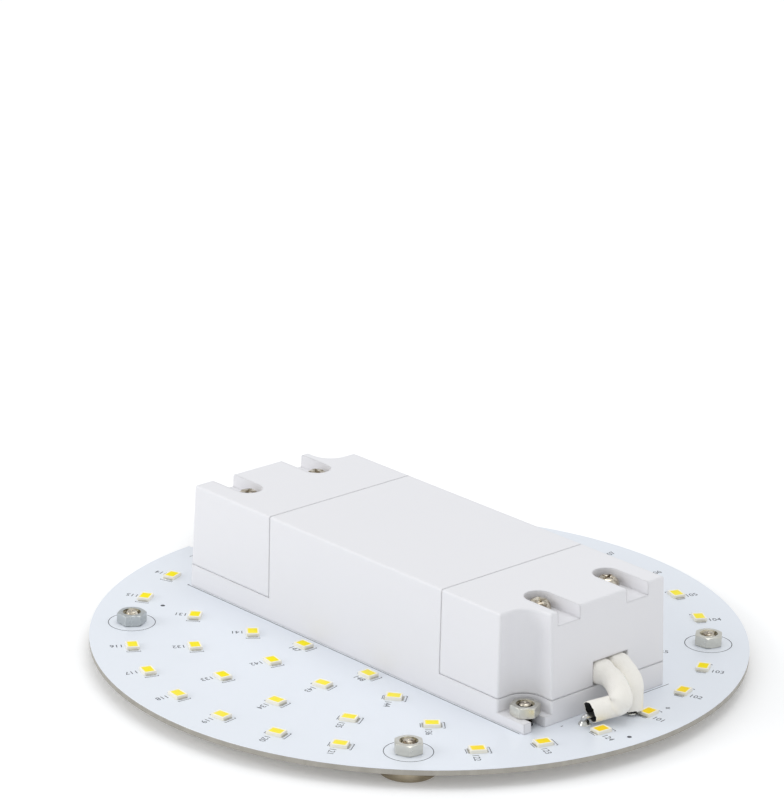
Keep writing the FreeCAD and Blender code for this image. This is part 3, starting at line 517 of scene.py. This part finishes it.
blank = Finish("blanked_sheet", Metallic=1.0)
rolled = blank.grain(60, 4, 0.65, (40, 2.5, 1))
sheared = blank.grain(500, 3, 0.6, (1, 1, 0.12))
facing = blank.axis(blank.add("ShaderNodeTexCoord", out="Normal"), "Z")
underside = blank.blend(rolled, (0.66, 0.64, 0.60), (0.52, 0.50, 0.46))
cut_edge = blank.blend(sheared, (0.45, 0.43, 0.39), (0.31, 0.295, 0.26))
refinish(blank.finish(Base_Color=blank.blend(facing.size().above(0.7), cut_edge, underside),
                      Roughness=rolled * 0.18 + 0.34,
                      Normal=blank.relief(sheared + rolled, 0.012, 0.12)), "aluminium_base")
resist = Finish("white_resist", IOR=1.5, Coat_Roughness=0.12)
clouding = resist.grain(22, 3, 0.55)
orange_peel = resist.grain(700, 2, 0.5)
white = resist.blend(clouding, (0.815, 0.85, 0.905), (0.79, 0.83, 0.89))
refinish(resist.finish(Base_Color=white, Roughness=clouding * 0.12 + 0.30,
                       Coat_Weight=clouding * 0.1 + 0.12,
                       Normal=resist.relief(orange_peel, 0.008)), "circuit_layer")

# Diodes: a white moulded cup with drafted sides, a phosphor window domed a little in its
# recess, and a tinned foot with its solder fillet at each end. They are soldered in rows.

DIODE_HALF = (1.75, 1.4)
OUTER_PLACES = 28
OUTER_STEP = 360 / OUTER_PLACES
OUTER_CIRCLE, SECOND_CIRCLE, THIRD_CIRCLE = 61.3, 48.375, 35.45
INNER_SPOTS = [(10.15, 23.9), (-10.15, 23.9), (-10.15, -23.9), (10.15, -23.9)]
outer_turns = [OUTER_STEP * (place + 0.5) for place in range(OUTER_PLACES) if place % 7 != 3]
second_turns = [side + turn for side in (90, 270) for turn in (-50, -30, -10, 10, 30, 50)]
third_turns = [side + OUTER_STEP * step for side in (90, 270) for step in (-3, -1, 1, 3)]


def circle_spots(radius, turns):
    """Rows of (x, y, turn of the diode's long side) on a circle."""
    turns = np.radians(turns)
    return np.stack([radius * np.cos(turns), radius * np.sin(turns), turns + math.pi / 2], -1)


DIODES = {
    "outer": circle_spots(OUTER_CIRCLE, outer_turns),
    "second": circle_spots(SECOND_CIRCLE, second_turns),
    "third": circle_spots(THIRD_CIRCLE, third_turns),
    "inner": np.array([(x, y, 0.0) for x, y in INNER_SPOTS]),
}


def copies(patch, spots):
    """Copies of a patch, each turned about Z and moved to its spot on the board."""
    cosine, sine = np.cos(spots[:, 2]), np.sin(spots[:, 2])
    cosine, sine = cosine[:, None, None], sine[:, None, None]
    x = patch[..., 0] * cosine - patch[..., 1] * sine
    y = patch[..., 0] * sine + patch[..., 1] * cosine
    z = np.broadcast_to(patch[..., 2], x.shape)
    return np.stack([x + spots[:, 0, None, None], y + spots[:, 1, None, None], z], -1)


def boxy(rows, per_corner=3):
    """Rounded rectangles stacked as rows of (half length, half width, corner radius, height)."""
    rows = np.array(rows, float)
    step = np.linspace(0, math.pi / 2, per_corner)
    turn = np.concatenate([step + side * math.pi / 2 for side in range(4)])
    sign_x = np.repeat([1, -1, -1, 1], per_corner)
    sign_y = np.repeat([1, 1, -1, -1], per_corner)
    length, width, radius, height = (rows[:, index, None] for index in range(4))
    x = sign_x * (length - radius) + radius * np.cos(turn)
    y = sign_y * (width - radius) + radius * np.sin(turn)
    return np.stack([x, y, height + 0 * x], -1)


cup_white = Finish("cup_moulding", IOR=1.5)
cup_tone = cup_white.grain(500, 2)
cup_finish = cup_white.finish(
    Base_Color=cup_white.blend(cup_tone, (0.96, 0.935, 0.84), (0.92, 0.88, 0.75)),
    Roughness=cup_tone * 0.2 + 0.35,
    Normal=cup_white.relief(cup_white.grain(4000, 1), 0.006))
WARM_FROM = 40 * MM
BORDER_SHARE = 0.39
glow = Finish("phosphor", IOR=1.3, Specular_IOR_Level=0.15)
towards_middle = glow.grid("Y")
speckle = glow.grain(9000, 2, 0.7)
batch = glow.grain(52, 1)
along_board = glow.axis(glow.place(), "X")
yellow = glow.blend((batch - 0.5) * 5 + 0.35, (0.97, 0.83, 0.004), (0.98, 0.85, 0.10))
yellow = glow.blend((along_board - WARM_FROM) * 32 + (batch - 0.5), yellow, (0.99, 0.66, 0.004))
yellow = glow.blend(speckle * 0.2, yellow, (0.99, 0.74, 0.0))
glow_finish = glow.finish(
    Base_Color=glow.blend(1 - (towards_middle - BORDER_SHARE) * 6, yellow, (0.99, 0.90, 0.42)),
    Roughness=speckle * 0.15 + 0.35, Normal=glow.relief(speckle, 0.01))
foot_finish = metal("tinned_feet", (0.62, 0.61, 0.56), (0.34, 0.33, 0.30), 0.25, 0.45, 1500,
                    contrast=1.6)

length, width = DIODE_HALF
cup = boxy([
    (0, 0, 0, 0), (length - 0.04, width - 0.04, 0.08, 0), (length, width, 0.1, 0.12),
    (length - 0.06, width - 0.06, 0.12, 0.72), (length - 0.12, width - 0.12, 0.12, 0.75),
    (length - 0.28, width - 0.28, 0.16, 0.75), (length - 0.33, width - 0.33, 0.16, 0.70),
    (length - 0.42, width - 0.42, 0.2, 0.60), (0, 0, 0, 0.60)])
window = boxy([
    (0, 0, 0, 0.61), (length - 0.40, width - 0.40, 0.2, 0.61),
    (length - 0.34, width - 0.34, 0.2, 0.68), (length * 0.62, width * 0.62, 0.3, 0.71),
    (length * 0.3, width * 0.3, 0.2, 0.722), (0, 0, 0, 0.725)])
foot = boxy([
    (0, 0, 0, 0), (0.19, 1.05, 0.06, 0), (0.17, 1.02, 0.06, 0.1), (0.09, 0.98, 0.05, 0.17),
    (0, 0, 0, 0.18)])
FOOT_GAP = 0.16
raised = BOARD_TOP * UP
for row_name, spots in DIODES.items():
    own(skin(f"cups_{row_name}", [copies(cup + raised, spots)]), cup_finish, "diode_plastic",
        f"diode_cups_{row_name}")
    own(skin(f"phosphor_{row_name}", [copies(window + raised, spots)]), glow_finish, "phosphor",
        f"diode_windows_{row_name}")
    feet = [copies(foot + raised + np.array([side * (length + FOOT_GAP), 0, 0]), spots)
            for side in (-1, 1)]
    own(skin(f"feet_{row_name}", feet), foot_finish, "tinned_copper", f"diode_feet_{row_name}")

# Nuts: hexagon nuts, cold-formed, with the corners of both faces turned off and a bevelled
# bore, in plain nickel plate. Four clamp the magnets and two clamp the driver's ears.

NUT_APOTHEM = 2.75
NUT_CORNER = NUT_APOTHEM * 1.1547
NUT_BORE = 1.55
NUT_FACE = 2.6


def hexagon(cone_radius, height, turn, softness=0.04):
    """A turned-off hexagon: the lesser of the flats' reach and a cone, corners eased."""
    folded = np.abs((turn + math.pi / 6) % (math.pi / 3) - math.pi / 6)
    flats = NUT_APOTHEM / np.cos(folded)
    eased = np.log1p(np.exp((NUT_CORNER - flats) / softness)) - math.log(2)
    reach = np.minimum(NUT_CORNER - softness * eased, cone_radius)
    return np.stack([reach * np.cos(turn), reach * np.sin(turn), height + 0 * turn], -1)


def nut():
    """A closed skin from the bore's lower edge round the outside to its upper edge and down."""
    turn = np.arange(72) * 2 * math.pi / 72
    ring = np.stack([np.cos(turn), np.sin(turn), 0 * turn], -1)
    rows = [NUT_BORE * ring + 0.3 * UP, 1.8 * ring, NUT_FACE * ring]
    chamfer = ((0.02, 2.68), (0.09, 2.86), (0.17, 3.04), (0.24, 3.17), (0.30, 3.4))
    for lift, cone in chamfer:
        rows.append(hexagon(cone, lift, turn))
    for lift, cone in chamfer[::-1]:
        rows.append(hexagon(cone, NUT_HEIGHT - lift, turn))
    rows += [NUT_FACE * ring + NUT_HEIGHT * UP, 1.95 * ring + NUT_HEIGHT * UP,
             1.88 * ring + (NUT_HEIGHT - 0.08) * UP, NUT_BORE * ring + (NUT_HEIGHT - 0.5) * UP]
    rows.append(rows[0])
    return np.array(rows)


# The bore starts at this share of the skin's rows
BORE_ROW = 14.5 / 17
plated = Finish("nut_plate", Metallic=1.0)
wear = plated.grain(500, 3, 0.6)
towards_input = plated.axis(plated.place(), "X") * -12 + 0.35
nut_steel = plated.blend(wear, (0.77, 0.76, 0.69), (0.58, 0.57, 0.52))
nut_steel = plated.blend(towards_input, nut_steel, (0.50, 0.53, 0.54))
# The bore is patched at high contrast between pale brass and near-black brown: painted shade and
# painted reflections of the bore's dark depth.
bore_painted_reflection = plated.blend((wear - 0.5) * 5 + 0.5, (0.66, 0.60, 0.45), (0.12, 0.10, 0.06))
nut_finish = plated.finish(
    Base_Color=plated.blend(plated.grid("Y").above(BORE_ROW), nut_steel, bore_painted_reflection),
    Roughness=wear * 0.2 + 0.2, Normal=plated.relief(plated.grain(2000, 2, 0.6), 0.012, 0.05))
NUT_TURNS = np.radians((-20.0, -8.9, 14.0, 26.5, 23.1, 5.0))
NUT_SEATS = [BOARD_TOP] * 4 + [EAR_TOP] * 2
for number, ((x, y), seat) in enumerate(zip(FIXINGS + EAR_SPOTS, NUT_SEATS)):
    spots = np.array([(x, y, NUT_TURNS[number])])
    node = f"magnet_nut_{number + 1}" if number < 4 else f"driver_nut_{number - 3}"
    own(skin(node.replace("_nut", "_hexagon"), [copies(nut() + seat * UP, spots)], 25),
        nut_finish, "nickel_steel", node)

# Board print: dark ink screened on the resist, a ring round each magnet nut, corner marks
# and a plain number at each diode, test points and the outline of the driver, whose near
# side also paints the contact shadow at the housing's foot.

INK_LIFT = BOARD_TOP + 0.012
INK_THICK = 0.012
INK_LINE = 0.16
NUMERAL_HEIGHT, SIGN_HEIGHT = 1.45, 1.8
FONT_SIZE_PER_HEIGHT = 1.37
FIRST_NUMBER = 101
ink_points, ink_faces = [], []


def add_ink(flat, faces):
    """Keeps flat points and the faces over them, for the one mesh of ink."""
    start = sum(len(each) for each in ink_points)
    ink_points.append(np.column_stack([flat, np.full(len(flat), INK_LIFT)]))
    ink_faces.extend([[corner + start for corner in face] for face in faces])


def print_strip(middle_line, width_mm=INK_LINE):
    """A flat line of ink: each point of the line set off to both sides by half the width."""
    line = np.array(middle_line, float)
    way = np.gradient(line, axis=0)
    way /= np.linalg.norm(way, axis=1)[:, None]
    off = np.stack([-way[:, 1], way[:, 0]], -1) * width_mm / 2
    count = len(line)
    index = np.arange(count - 1)
    faces = np.stack([index, index + 1, index + 1 + count, index + count], -1)
    add_ink(np.concatenate([line - off, line + off]), faces.tolist())


def print_text(words, spot, turn, height_mm):
    """Plain numerals or signs, as filled outlines laid flat at a spot."""
    letter = bpy.data.curves.new("numeral", "FONT")
    letter.body = words
    letter.size = height_mm * FONT_SIZE_PER_HEIGHT
    letter.align_x = "LEFT"
    letter.align_y = "CENTER"
    carrier = bpy.data.objects.new("numeral", letter)
    bpy.context.scene.collection.objects.link(carrier)
    bpy.context.view_layer.update()
    shape = bpy.data.meshes.new_from_object(carrier)
    flat = np.zeros(len(shape.vertices) * 3)
    shape.vertices.foreach_get("co", flat)
    flat = flat.reshape(-1, 3)[:, :2]
    rotation = np.array([[math.cos(turn), -math.sin(turn)], [math.sin(turn), math.cos(turn)]])
    add_ink(flat @ rotation.T + np.array(spot), [face.vertices for face in shape.polygons])
    bpy.data.objects.remove(carrier)
    bpy.data.meshes.remove(shape)


def ring_line(x, y, radius, count=72):
    """Points on a circle about a spot."""
    turn = np.linspace(0, 2 * math.pi, count)
    return np.stack([x + radius * np.cos(turn), y + radius * np.sin(turn)], -1)


def own_axes(spot, pairs):
    """Points given on a diode's own axes, carried to the board."""
    x, y, turn = spot
    pairs = np.array(pairs, float)
    return np.stack([x + pairs[:, 0] * math.cos(turn) - pairs[:, 1] * math.sin(turn),
                     y + pairs[:, 0] * math.sin(turn) + pairs[:, 1] * math.cos(turn)], -1)


next_number = FIRST_NUMBER
for x, y in FIXINGS:
    print_strip(ring_line(x, y, 5.0))
for x, y in ((-46.3, -32.4), (66.5, -4.5), (-32.85, 47.1)):
    print_strip(ring_line(x, y, 0.24, 24), 0.5)
END_BAR = [(-2.35, -1.0), (-2.35, 1.0)]
END_BRACKET = [(2.25, -1.45), (2.6, -1.45), (2.6, -1.44), (2.6, 1.44), (2.6, 1.45), (2.25, 1.45)]
MARK_LINE = 0.15
for row_name, spots in DIODES.items():
    for spot in spots:
        print_strip(own_axes(spot, END_BAR), MARK_LINE)
        print_strip(own_axes(spot, END_BRACKET), MARK_LINE)
        if row_name == "inner":
            beside, lean = (-1.6, math.copysign(2.5, spot[1])), 0
        else:
            beside, lean = (-0.9, -1.75), math.pi / 2
        print_text(str(next_number), own_axes(spot, [beside])[0], spot[2] - lean, NUMERAL_HEIGHT)
        next_number += 1
# This dot and the first line below it lie hard against the driver's near side: they are printed
# outline and also a painted contact shadow at the housing's foot.
print_strip(ring_line(-52.0, -20.45, 0.1, 16), 0.25)
for ends in ([(-51.9, -20.5), (51.4, -20.5)], [(53.0, 7.5), (53.0, 21.1)],
             [(-64.7, 2.2), (-52.4, 2.2)], [(-64.7, 2.2), (-64.7, -9.5)]):
    print_strip(ends)
print_text("+", (61.6, 11.2), math.pi / 2, SIGN_HEIGHT)
print_text("-", (53.9, -11.6), math.pi / 2, SIGN_HEIGHT)
ink = Finish("screened_ink", IOR=1.45)
coverage = ink.grain(3000, 2, 0.6)
ink_finish = ink.finish(Base_Color=ink.blend(coverage, (0.035, 0.038, 0.045), (0.11, 0.12, 0.14)),
                        Roughness=coverage * 0.2 + 0.45)
ink_mesh = bpy.data.meshes.new("board_print")
ink_mesh.from_pydata(np.concatenate(ink_points) * MM, [], ink_faces)
board_print = bpy.data.objects.new("board_print", ink_mesh)
bpy.context.scene.collection.objects.link(board_print)
thickness = board_print.modifiers.new("ink", "SOLIDIFY")
thickness.thickness = INK_THICK * MM
own(board_print, ink_finish, "print_ink")

# Driver housing and caps: one white moulding below and two caps, in polycarbonate with a
# fine satin skin. The gate marks and the flow of the plastic show only as a faint drift.

shell = Finish("white_moulding", IOR=1.5)
flow = shell.grain(14, 3, 0.55)
fine_skin = shell.grain(3200, 2, 0.6)
sink = shell.grain(40, 1)
refinish(shell.finish(Base_Color=shell.blend(flow, (0.83, 0.825, 0.845), (0.80, 0.795, 0.82)),
                      Roughness=fine_skin * 0.12 + 0.36,
                      Normal=shell.relief(fine_skin * 0.5 + sink, 0.006, 0.6)),
         "main_housing", "output_cap", "input_cap")

# Cap screws: pan heads with a cross recess, sunk in the caps' slots, bright nickel with painted
# glints and dark reflections. Their points cut a thread in the housing's bosses.

HOUSING_HEIGHT = 23.6
SLOT_DEPTH = 2.9
CAP_SCREWS = [(42.6, 12.3, 0.2), (42.6, -7.4, 1.0), (-41.8, -12.3, 0.5), (-41.8, 7.4, 1.25)]
CAP_SEAT = BOARD_TOP + HOUSING_HEIGHT - SLOT_DEPTH
cap_head = recessed_face([(2.5, 0.0), (2.5, 0.6), (2.42, 1.1), (2.2, 1.6), (1.9, 1.95),
                          (1.62, 2.15), (1.5, 2.2)], 1.45, 0.34, 1.25)
cap_under = turned([(0, -10), (0.75, -9.9), (1.3, -8.8)], 36)
cap_shank = thread(-8.8, -0.3, 1.45)
cap_neck = turned([(1.15, -0.3), (1.45, 0.0), (2.5, 0.0)], 36)
for number, (x, y, turn) in enumerate(CAP_SCREWS, 1):
    spots = np.array([(x, y, turn)])
    screw = [copies(part + CAP_SEAT * UP, spots)
             for part in (cap_head, cap_under, cap_shank, cap_neck)]
    own(skin(f"sunk_pan_{number}", screw), bright, "nickel_steel", f"cap_screw_{number}")

# Inside the driver: the circuit board, its parts and the core ends, all hidden by the
# closed housing, each in the colour of its kind.

card = Finish("green_card", IOR=1.5)
THREADS_PER_METRE = 9000
threads = (card.axis(card.place(), "X") * THREADS_PER_METRE).wave() * 0.5 \
    + (card.axis(card.place(), "Y") * THREADS_PER_METRE).wave() * 0.5
green = card.blend(card.grain(120, 4), (0.03, 0.14, 0.05), (0.05, 0.22, 0.08))
refinish(card.finish(Base_Color=green, Roughness=card.grain(200) * 0.2 + 0.3,
                     Normal=card.relief(threads, 0.004)), "driver_board")


def moulded(name, colour, lighter, shine, depth=0.01, edge=0.2):
    """A moulded or wrapped component: its colour drifts a little and its skin is fine."""
    part = Finish(name, IOR=1.5)
    drift = part.grain(200, 3)
    return part.finish(Base_Color=part.blend(drift, colour, lighter), Roughness=drift * 0.2 + shine,
                       Normal=part.relief(part.grain(2500, 2), depth, edge))


refinish(moulded("black_epoxy", (0.015, 0.015, 0.016), (0.035, 0.035, 0.036), 0.4),
         "fuse", "rectifier", "controller_chip", "output_diode", "coil_former")
refinish(moulded("yellow_case", (0.72, 0.50, 0.04), (0.80, 0.60, 0.08), 0.25), "safety_capacitor")
refinish(moulded("yellow_tape", (0.78, 0.60, 0.06), (0.70, 0.50, 0.03), 0.2, 0.03), "coil_winding")
refinish(moulded("dark_sleeve", (0.012, 0.012, 0.035), (0.02, 0.02, 0.06), 0.25),
         "input_capacitor", "output_capacitor")
refinish(moulded("grey_ferrite", (0.05, 0.05, 0.052), (0.09, 0.09, 0.09), 0.55, 0.03),
         "transformer_core", "filter_choke")
refinish(tinned, "core_links")

# Sleeves: two white glass-fibre tubes, braided and varnished, slipped over the driver's
# output wires. The square mouth grips them side by side; the near one is bent back sharply
# and creased, and the far one dips to its joint.

SLEEVE_RADIUS = 2.3
SLEEVE_WALL = 0.45
SLEEVE_COLUMNS = 48
SLEEVE_ROWS = 120
BORE_ROWS = 22
BRAID_STRANDS = 22
BRAID_ROWS = 26
MOUTH_X = 52.4
GRIP_FADE = 2.2
LIP, BULGE = 0.4, 0.24
RIM_SHARE, RIM_THINNING = 0.03, 0.68


def spline_points(corners, count):
    """Points at even parameters on the quadratic B-spline over the corners, ends included."""
    corners = np.array(corners, float)
    spans = len(corners) - 2
    place = np.linspace(0, spans, count)
    span = np.minimum(place.astype(int), spans - 1)
    part = (place - span)[:, None]
    knots = np.concatenate([[0, 0, 0], np.arange(1, spans), [spans] * 3]).astype(float)
    low, high = knots[span + 1][:, None], knots[span + 4][:, None]
    left, right = knots[span + 2][:, None], knots[span + 3][:, None]
    at = left + part
    a, b, c = corners[span], corners[span + 1], corners[span + 2]
    first = (a * (right - at) + b * (at - low)) / (right - low)
    second = (b * (high - at) + c * (at - left)) / (high - left)
    return (first * (right - at) + second * (at - left)) / (right - left)


def sleeve_patch(corners, reference, kinks, slant=0.0):
    """A soft woven tube about a smooth line.

    radius = outer * (1 + grip * (0.09 * (1 - cos of four turns) + 0.045)), squarer where the
    mouth grips it, less a fold at each kink, and on the inner side of a bend no more than nine
    tenths of the way to the bend's centre, so that the side folds in and never overlaps
    itself. Beside a fold the skin bulges, and a lip rises below it. The wall thins towards a
    slanted, ragged rim and runs back up inside. Kinks are (share of the length, width, depth,
    turn from the bend's inner side).
    """
    line = spline_points(corners, SLEEVE_ROWS)
    along, side, up = frames(line, np.array(reference, float))
    share = np.linspace(0, 1, SLEEVE_ROWS)[:, None]
    turn = np.arange(SLEEVE_COLUMNS)[None, :] * 2 * math.pi / SLEEVE_COLUMNS
    grip = 1 - np.clip((line[:, :1] - MOUTH_X + 0.4) / GRIP_FADE, 0, 1)
    grip = np.where(share < 0.5, grip * grip * (3 - 2 * grip), 0)
    radius = SLEEVE_RADIUS * (1 + grip * 0.09 * (1 - np.cos(4 * turn)) + grip * 0.045)
    step = np.linalg.norm(np.gradient(line, axis=0), axis=1)[:, None]
    curl = np.gradient(along, axis=0) / step
    inner = np.arctan2((curl * up).sum(1), (curl * side).sum(1))[:, None]
    within = np.clip(np.cos(turn - inner), 0, 1)
    for spot, spread, depth, lean in kinks:
        reach = np.clip(np.cos(turn - inner - lean), 0, 1) ** 1.6
        beyond = (share - spot) / spread
        fold = np.exp(-beyond ** 2) - LIP * np.exp(-(beyond - 2) ** 2)
        bulge = np.exp(-(beyond / 4) ** 2) * np.sin(turn - inner) ** 2
        radius = radius - depth * fold * reach + BULGE * bulge
    to_centre = 0.9 / np.maximum(np.linalg.norm(curl, axis=1)[:, None] * within, 0.01)
    radius = (radius ** -8 + to_centre ** -8) ** (-1 / 8)
    ragged = slant * np.sin(turn) + 0.10 * np.sin(3 * turn + 0.7) + 0.06 * np.sin(8 * turn) \
        + 0.05 * np.sin(15 * turn + 1.1)
    tail = np.exp(-((1 - share) / RIM_SHARE) ** 2)
    push = (ragged * tail)[..., None] * along[:, None]
    outer = tube(line, radius, SLEEVE_COLUMNS, reference) + push
    wall = SLEEVE_WALL * (1 - RIM_THINNING * tail)
    lining = (tube(line, radius - wall, SLEEVE_COLUMNS, reference) + push)[-BORE_ROWS:][::-1]
    return np.concatenate([line[:1, None].repeat(SLEEVE_COLUMNS, 1), outer, lining,
                           line[-BORE_ROWS:][:1, None].repeat(SLEEVE_COLUMNS, 1)])


NEAR_ROUTE = [(47.15, 2.05, 12.0), (53.0, 2.05, 11.95), (57.7, 0.7, 11.25), (61.0, -1.1, 8.8),
              (58.5, -1.2, 7.3), (57.2, -6.4, 7.0)]
FAR_ROUTE = [(47.15, 6.87, 12.0), (51.4, 6.87, 12.0), (54.6, 6.4, 11.75), (57.1, 5.5, 10.1),
             (57.9, 5.0, 7.4), (58.3, 4.6, 4.8)]
LEVEL, ACROSS = (0, 0, 1), (0, 1, 0)
cloth = Finish("braided_sleeve", IOR=1.45, Sheen_Weight=0.25, Sheen_Roughness=0.5)
round_way, long_way = cloth.grid("X"), cloth.grid("Y")
TAU = 2 * math.pi
crossing = ((round_way * BRAID_STRANDS + long_way * BRAID_ROWS) * TAU).wave() \
    * ((round_way * BRAID_STRANDS - long_way * BRAID_ROWS) * TAU).wave()
LINING_STARTS = (SLEEVE_ROWS + 1.3) / (SLEEVE_ROWS + BORE_ROWS + 1)
inside = long_way.above(LINING_STARTS)
soiled = cloth.grain(350, 3, 0.6)
thread_colour = cloth.blend(soiled, (0.97, 0.945, 0.89), (0.91, 0.88, 0.81))
TRACER_SPOTS = [(0.10, 0.30), (0.09, 0.36)]
TRACER_WIDTH, TRACER_LENGTH = 0.016, 0.014
for turn_share, row_share in TRACER_SPOTS:
    aside = (round_way - turn_share).size().above(TRACER_WIDTH)
    past = (long_way - row_share).size().above(TRACER_LENGTH)
    dash = (1 - aside) * (1 - past)
    thread_colour = cloth.blend(dash * 0.6, thread_colour, (0.10, 0.55, 0.38))
# The lining of each sleeve is painted near-black: painted shade inside the tube's bore.
cloth_finish = cloth.finish(
    Base_Color=cloth.blend(inside, thread_colour, (0.012, 0.012, 0.012)),
    Roughness=soiled * 0.2 + 0.6, Normal=cloth.relief(crossing * 0.35 + soiled * 0.65, 0.06))
NEAR_KINKS = [(0.60, 0.022, 0.55, 0.8)]
NEAR_SLANT = 0.45
FAR_KINKS = [(0.62, 0.04, 0.3, 0.0)]
own(skin("braid_near", [sleeve_patch(NEAR_ROUTE, LEVEL, NEAR_KINKS, NEAR_SLANT)], 60),
    cloth_finish, "sleeving", "sleeve_near")
own(skin("braid_far", [sleeve_patch(FAR_ROUTE, ACROSS, FAR_KINKS)], 60),
    cloth_finish, "sleeving", "sleeve_far")

# Output wires and their joints: tinned wires that rise from the card, run through the
# sleeves and end on the board's pads, each in a fillet of solder that climbs the wire.

WIRE_RADIUS = 0.6
WIRE_END = 0.6
CARD_PAD_X = 36.2
CARD_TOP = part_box("driver_board")[1][2] / MM
SLANT = (0.55, 0.6, -0.55)
solder = metal("bright_solder", (0.86, 0.86, 0.82), (0.50, 0.50, 0.46), 0.08, 0.24, 600,
               depth=0.01, contrast=2.0)
fillet = turned([(0, 0), (1.4, 0), (1.34, 0.14), (1.15, 0.36), (0.98, 0.58), (0.86, 0.8),
                 (0.7, 0.95), (0, 1.0)], 32)
JOINTS = {"near": (56.2, -6.8), "far": (58.2, 4.6)}
WIRE_BENDS = {"near": [(57.3, -6.0, 6.3), (56.9, -7.8, 6.2), (56.3, -7.3, 5.2)],
              "far": [(58.3, 4.6, 5.6)]}
for name, route in (("near", NEAR_ROUTE), ("far", FAR_ROUTE)):
    side, level = route[0][1:]
    line = [(CARD_PAD_X, side, CARD_TOP), (CARD_PAD_X, side, level), *route[:-1], *WIRE_BENDS[name],
            (*JOINTS[name], BOARD_TOP + WIRE_END)]
    wire = closed(tube(spline_points(line, 90), WIRE_RADIUS, 12, SLANT))
    own(skin(f"tinned_wire_{name}", [wire], 60), tinned, "tinned_copper", f"output_wire_{name}")
joints = [at(fillet, *JOINTS["near"], BOARD_TOP), at(fillet, *JOINTS["far"], BOARD_TOP)]
own(skin("solder_fillets", joints, 60), solder, "solder", "solder_joints")

# Studio: a pale floor that keeps the module's shadow, a white surround, and two large soft
# lamps: the key from the driver's long side and one over the board.

FLOOR_HALF = 6.0
floor_mesh = bpy.data.meshes.new("floor")
floor_mesh.from_pydata([(-FLOOR_HALF, -FLOOR_HALF, 0), (FLOOR_HALF, -FLOOR_HALF, 0),
                        (FLOOR_HALF, FLOOR_HALF, 0), (-FLOOR_HALF, FLOOR_HALF, 0)],
                       [], [(0, 1, 2, 3)])
floor = bpy.data.objects.new("floor", floor_mesh)
bpy.context.scene.collection.objects.link(floor)
FLOOR_LIFT = 0.13
ground = Finish("pale_ground", Roughness=0.9, Base_Color=(0.95, 0.95, 0.95),
                Specular_IOR_Level=0.2)
straight, glossy, clear = (ground.add("ShaderNodeLightPath", out=f"Is {ray} Ray")
                           for ray in ("Camera", "Glossy", "Transmission"))
seen = straight.larger(glossy.larger(clear))
lift = ground.add("ShaderNodeEmission", {}, {
    "Color": (1.0, 1.0, 1.0), "Strength": seen * FLOOR_LIFT}, "Emission")
shaded = Number(ground, ground.shader.outputs["BSDF"])
total = ground.add("ShaderNodeAddShader", {}, {0: shaded, 1: lift}, "Shader")
ground.feed(ground.tree.nodes["Material Output"], "Surface", total)
floor_mesh.materials.append(ground.material)

SKY_LIGHT, SKY_SEEN = 0.76, 1.05
world = bpy.data.worlds.new("studio")
bpy.context.scene.world = world
world.use_nodes = True
sky = Tree(world.node_tree)
straight, clear = (sky.add("ShaderNodeLightPath", out=f"Is {ray} Ray")
                   for ray in ("Camera", "Transmission"))
strength = sky.add("ShaderNodeMapRange", {}, {
    "Value": straight.larger(clear), "To Min": SKY_LIGHT, "To Max": SKY_SEEN}, "Result")
background = world.node_tree.nodes["Background"]
sky.feed(background, "Color", (0.97, 0.985, 1.0))
sky.feed(background, "Strength", strength)


def soft_lamp(name, spot, aim, side, watts):
    """A square area lamp turned towards a point."""
    lamp = bpy.data.lights.new(name, "AREA")
    lamp.size = side
    lamp.energy = watts
    holder = bpy.data.objects.new(name, lamp)
    holder.location = spot
    way = np.array(aim, float) - np.array(spot, float)
    level = math.hypot(way[0], way[1])
    around = math.atan2(way[1], way[0]) - math.pi / 2
    holder.rotation_euler = (math.atan2(level, -way[2]), 0, around)
    bpy.context.scene.collection.objects.link(holder)


soft_lamp("key", (-0.75, -1.05, 0.55), (0, 0, 0.02), 0.7, 5.2)
soft_lamp("top", (0.1, 0.2, 1.5), (0, 0, 0), 1.0, 4.3)
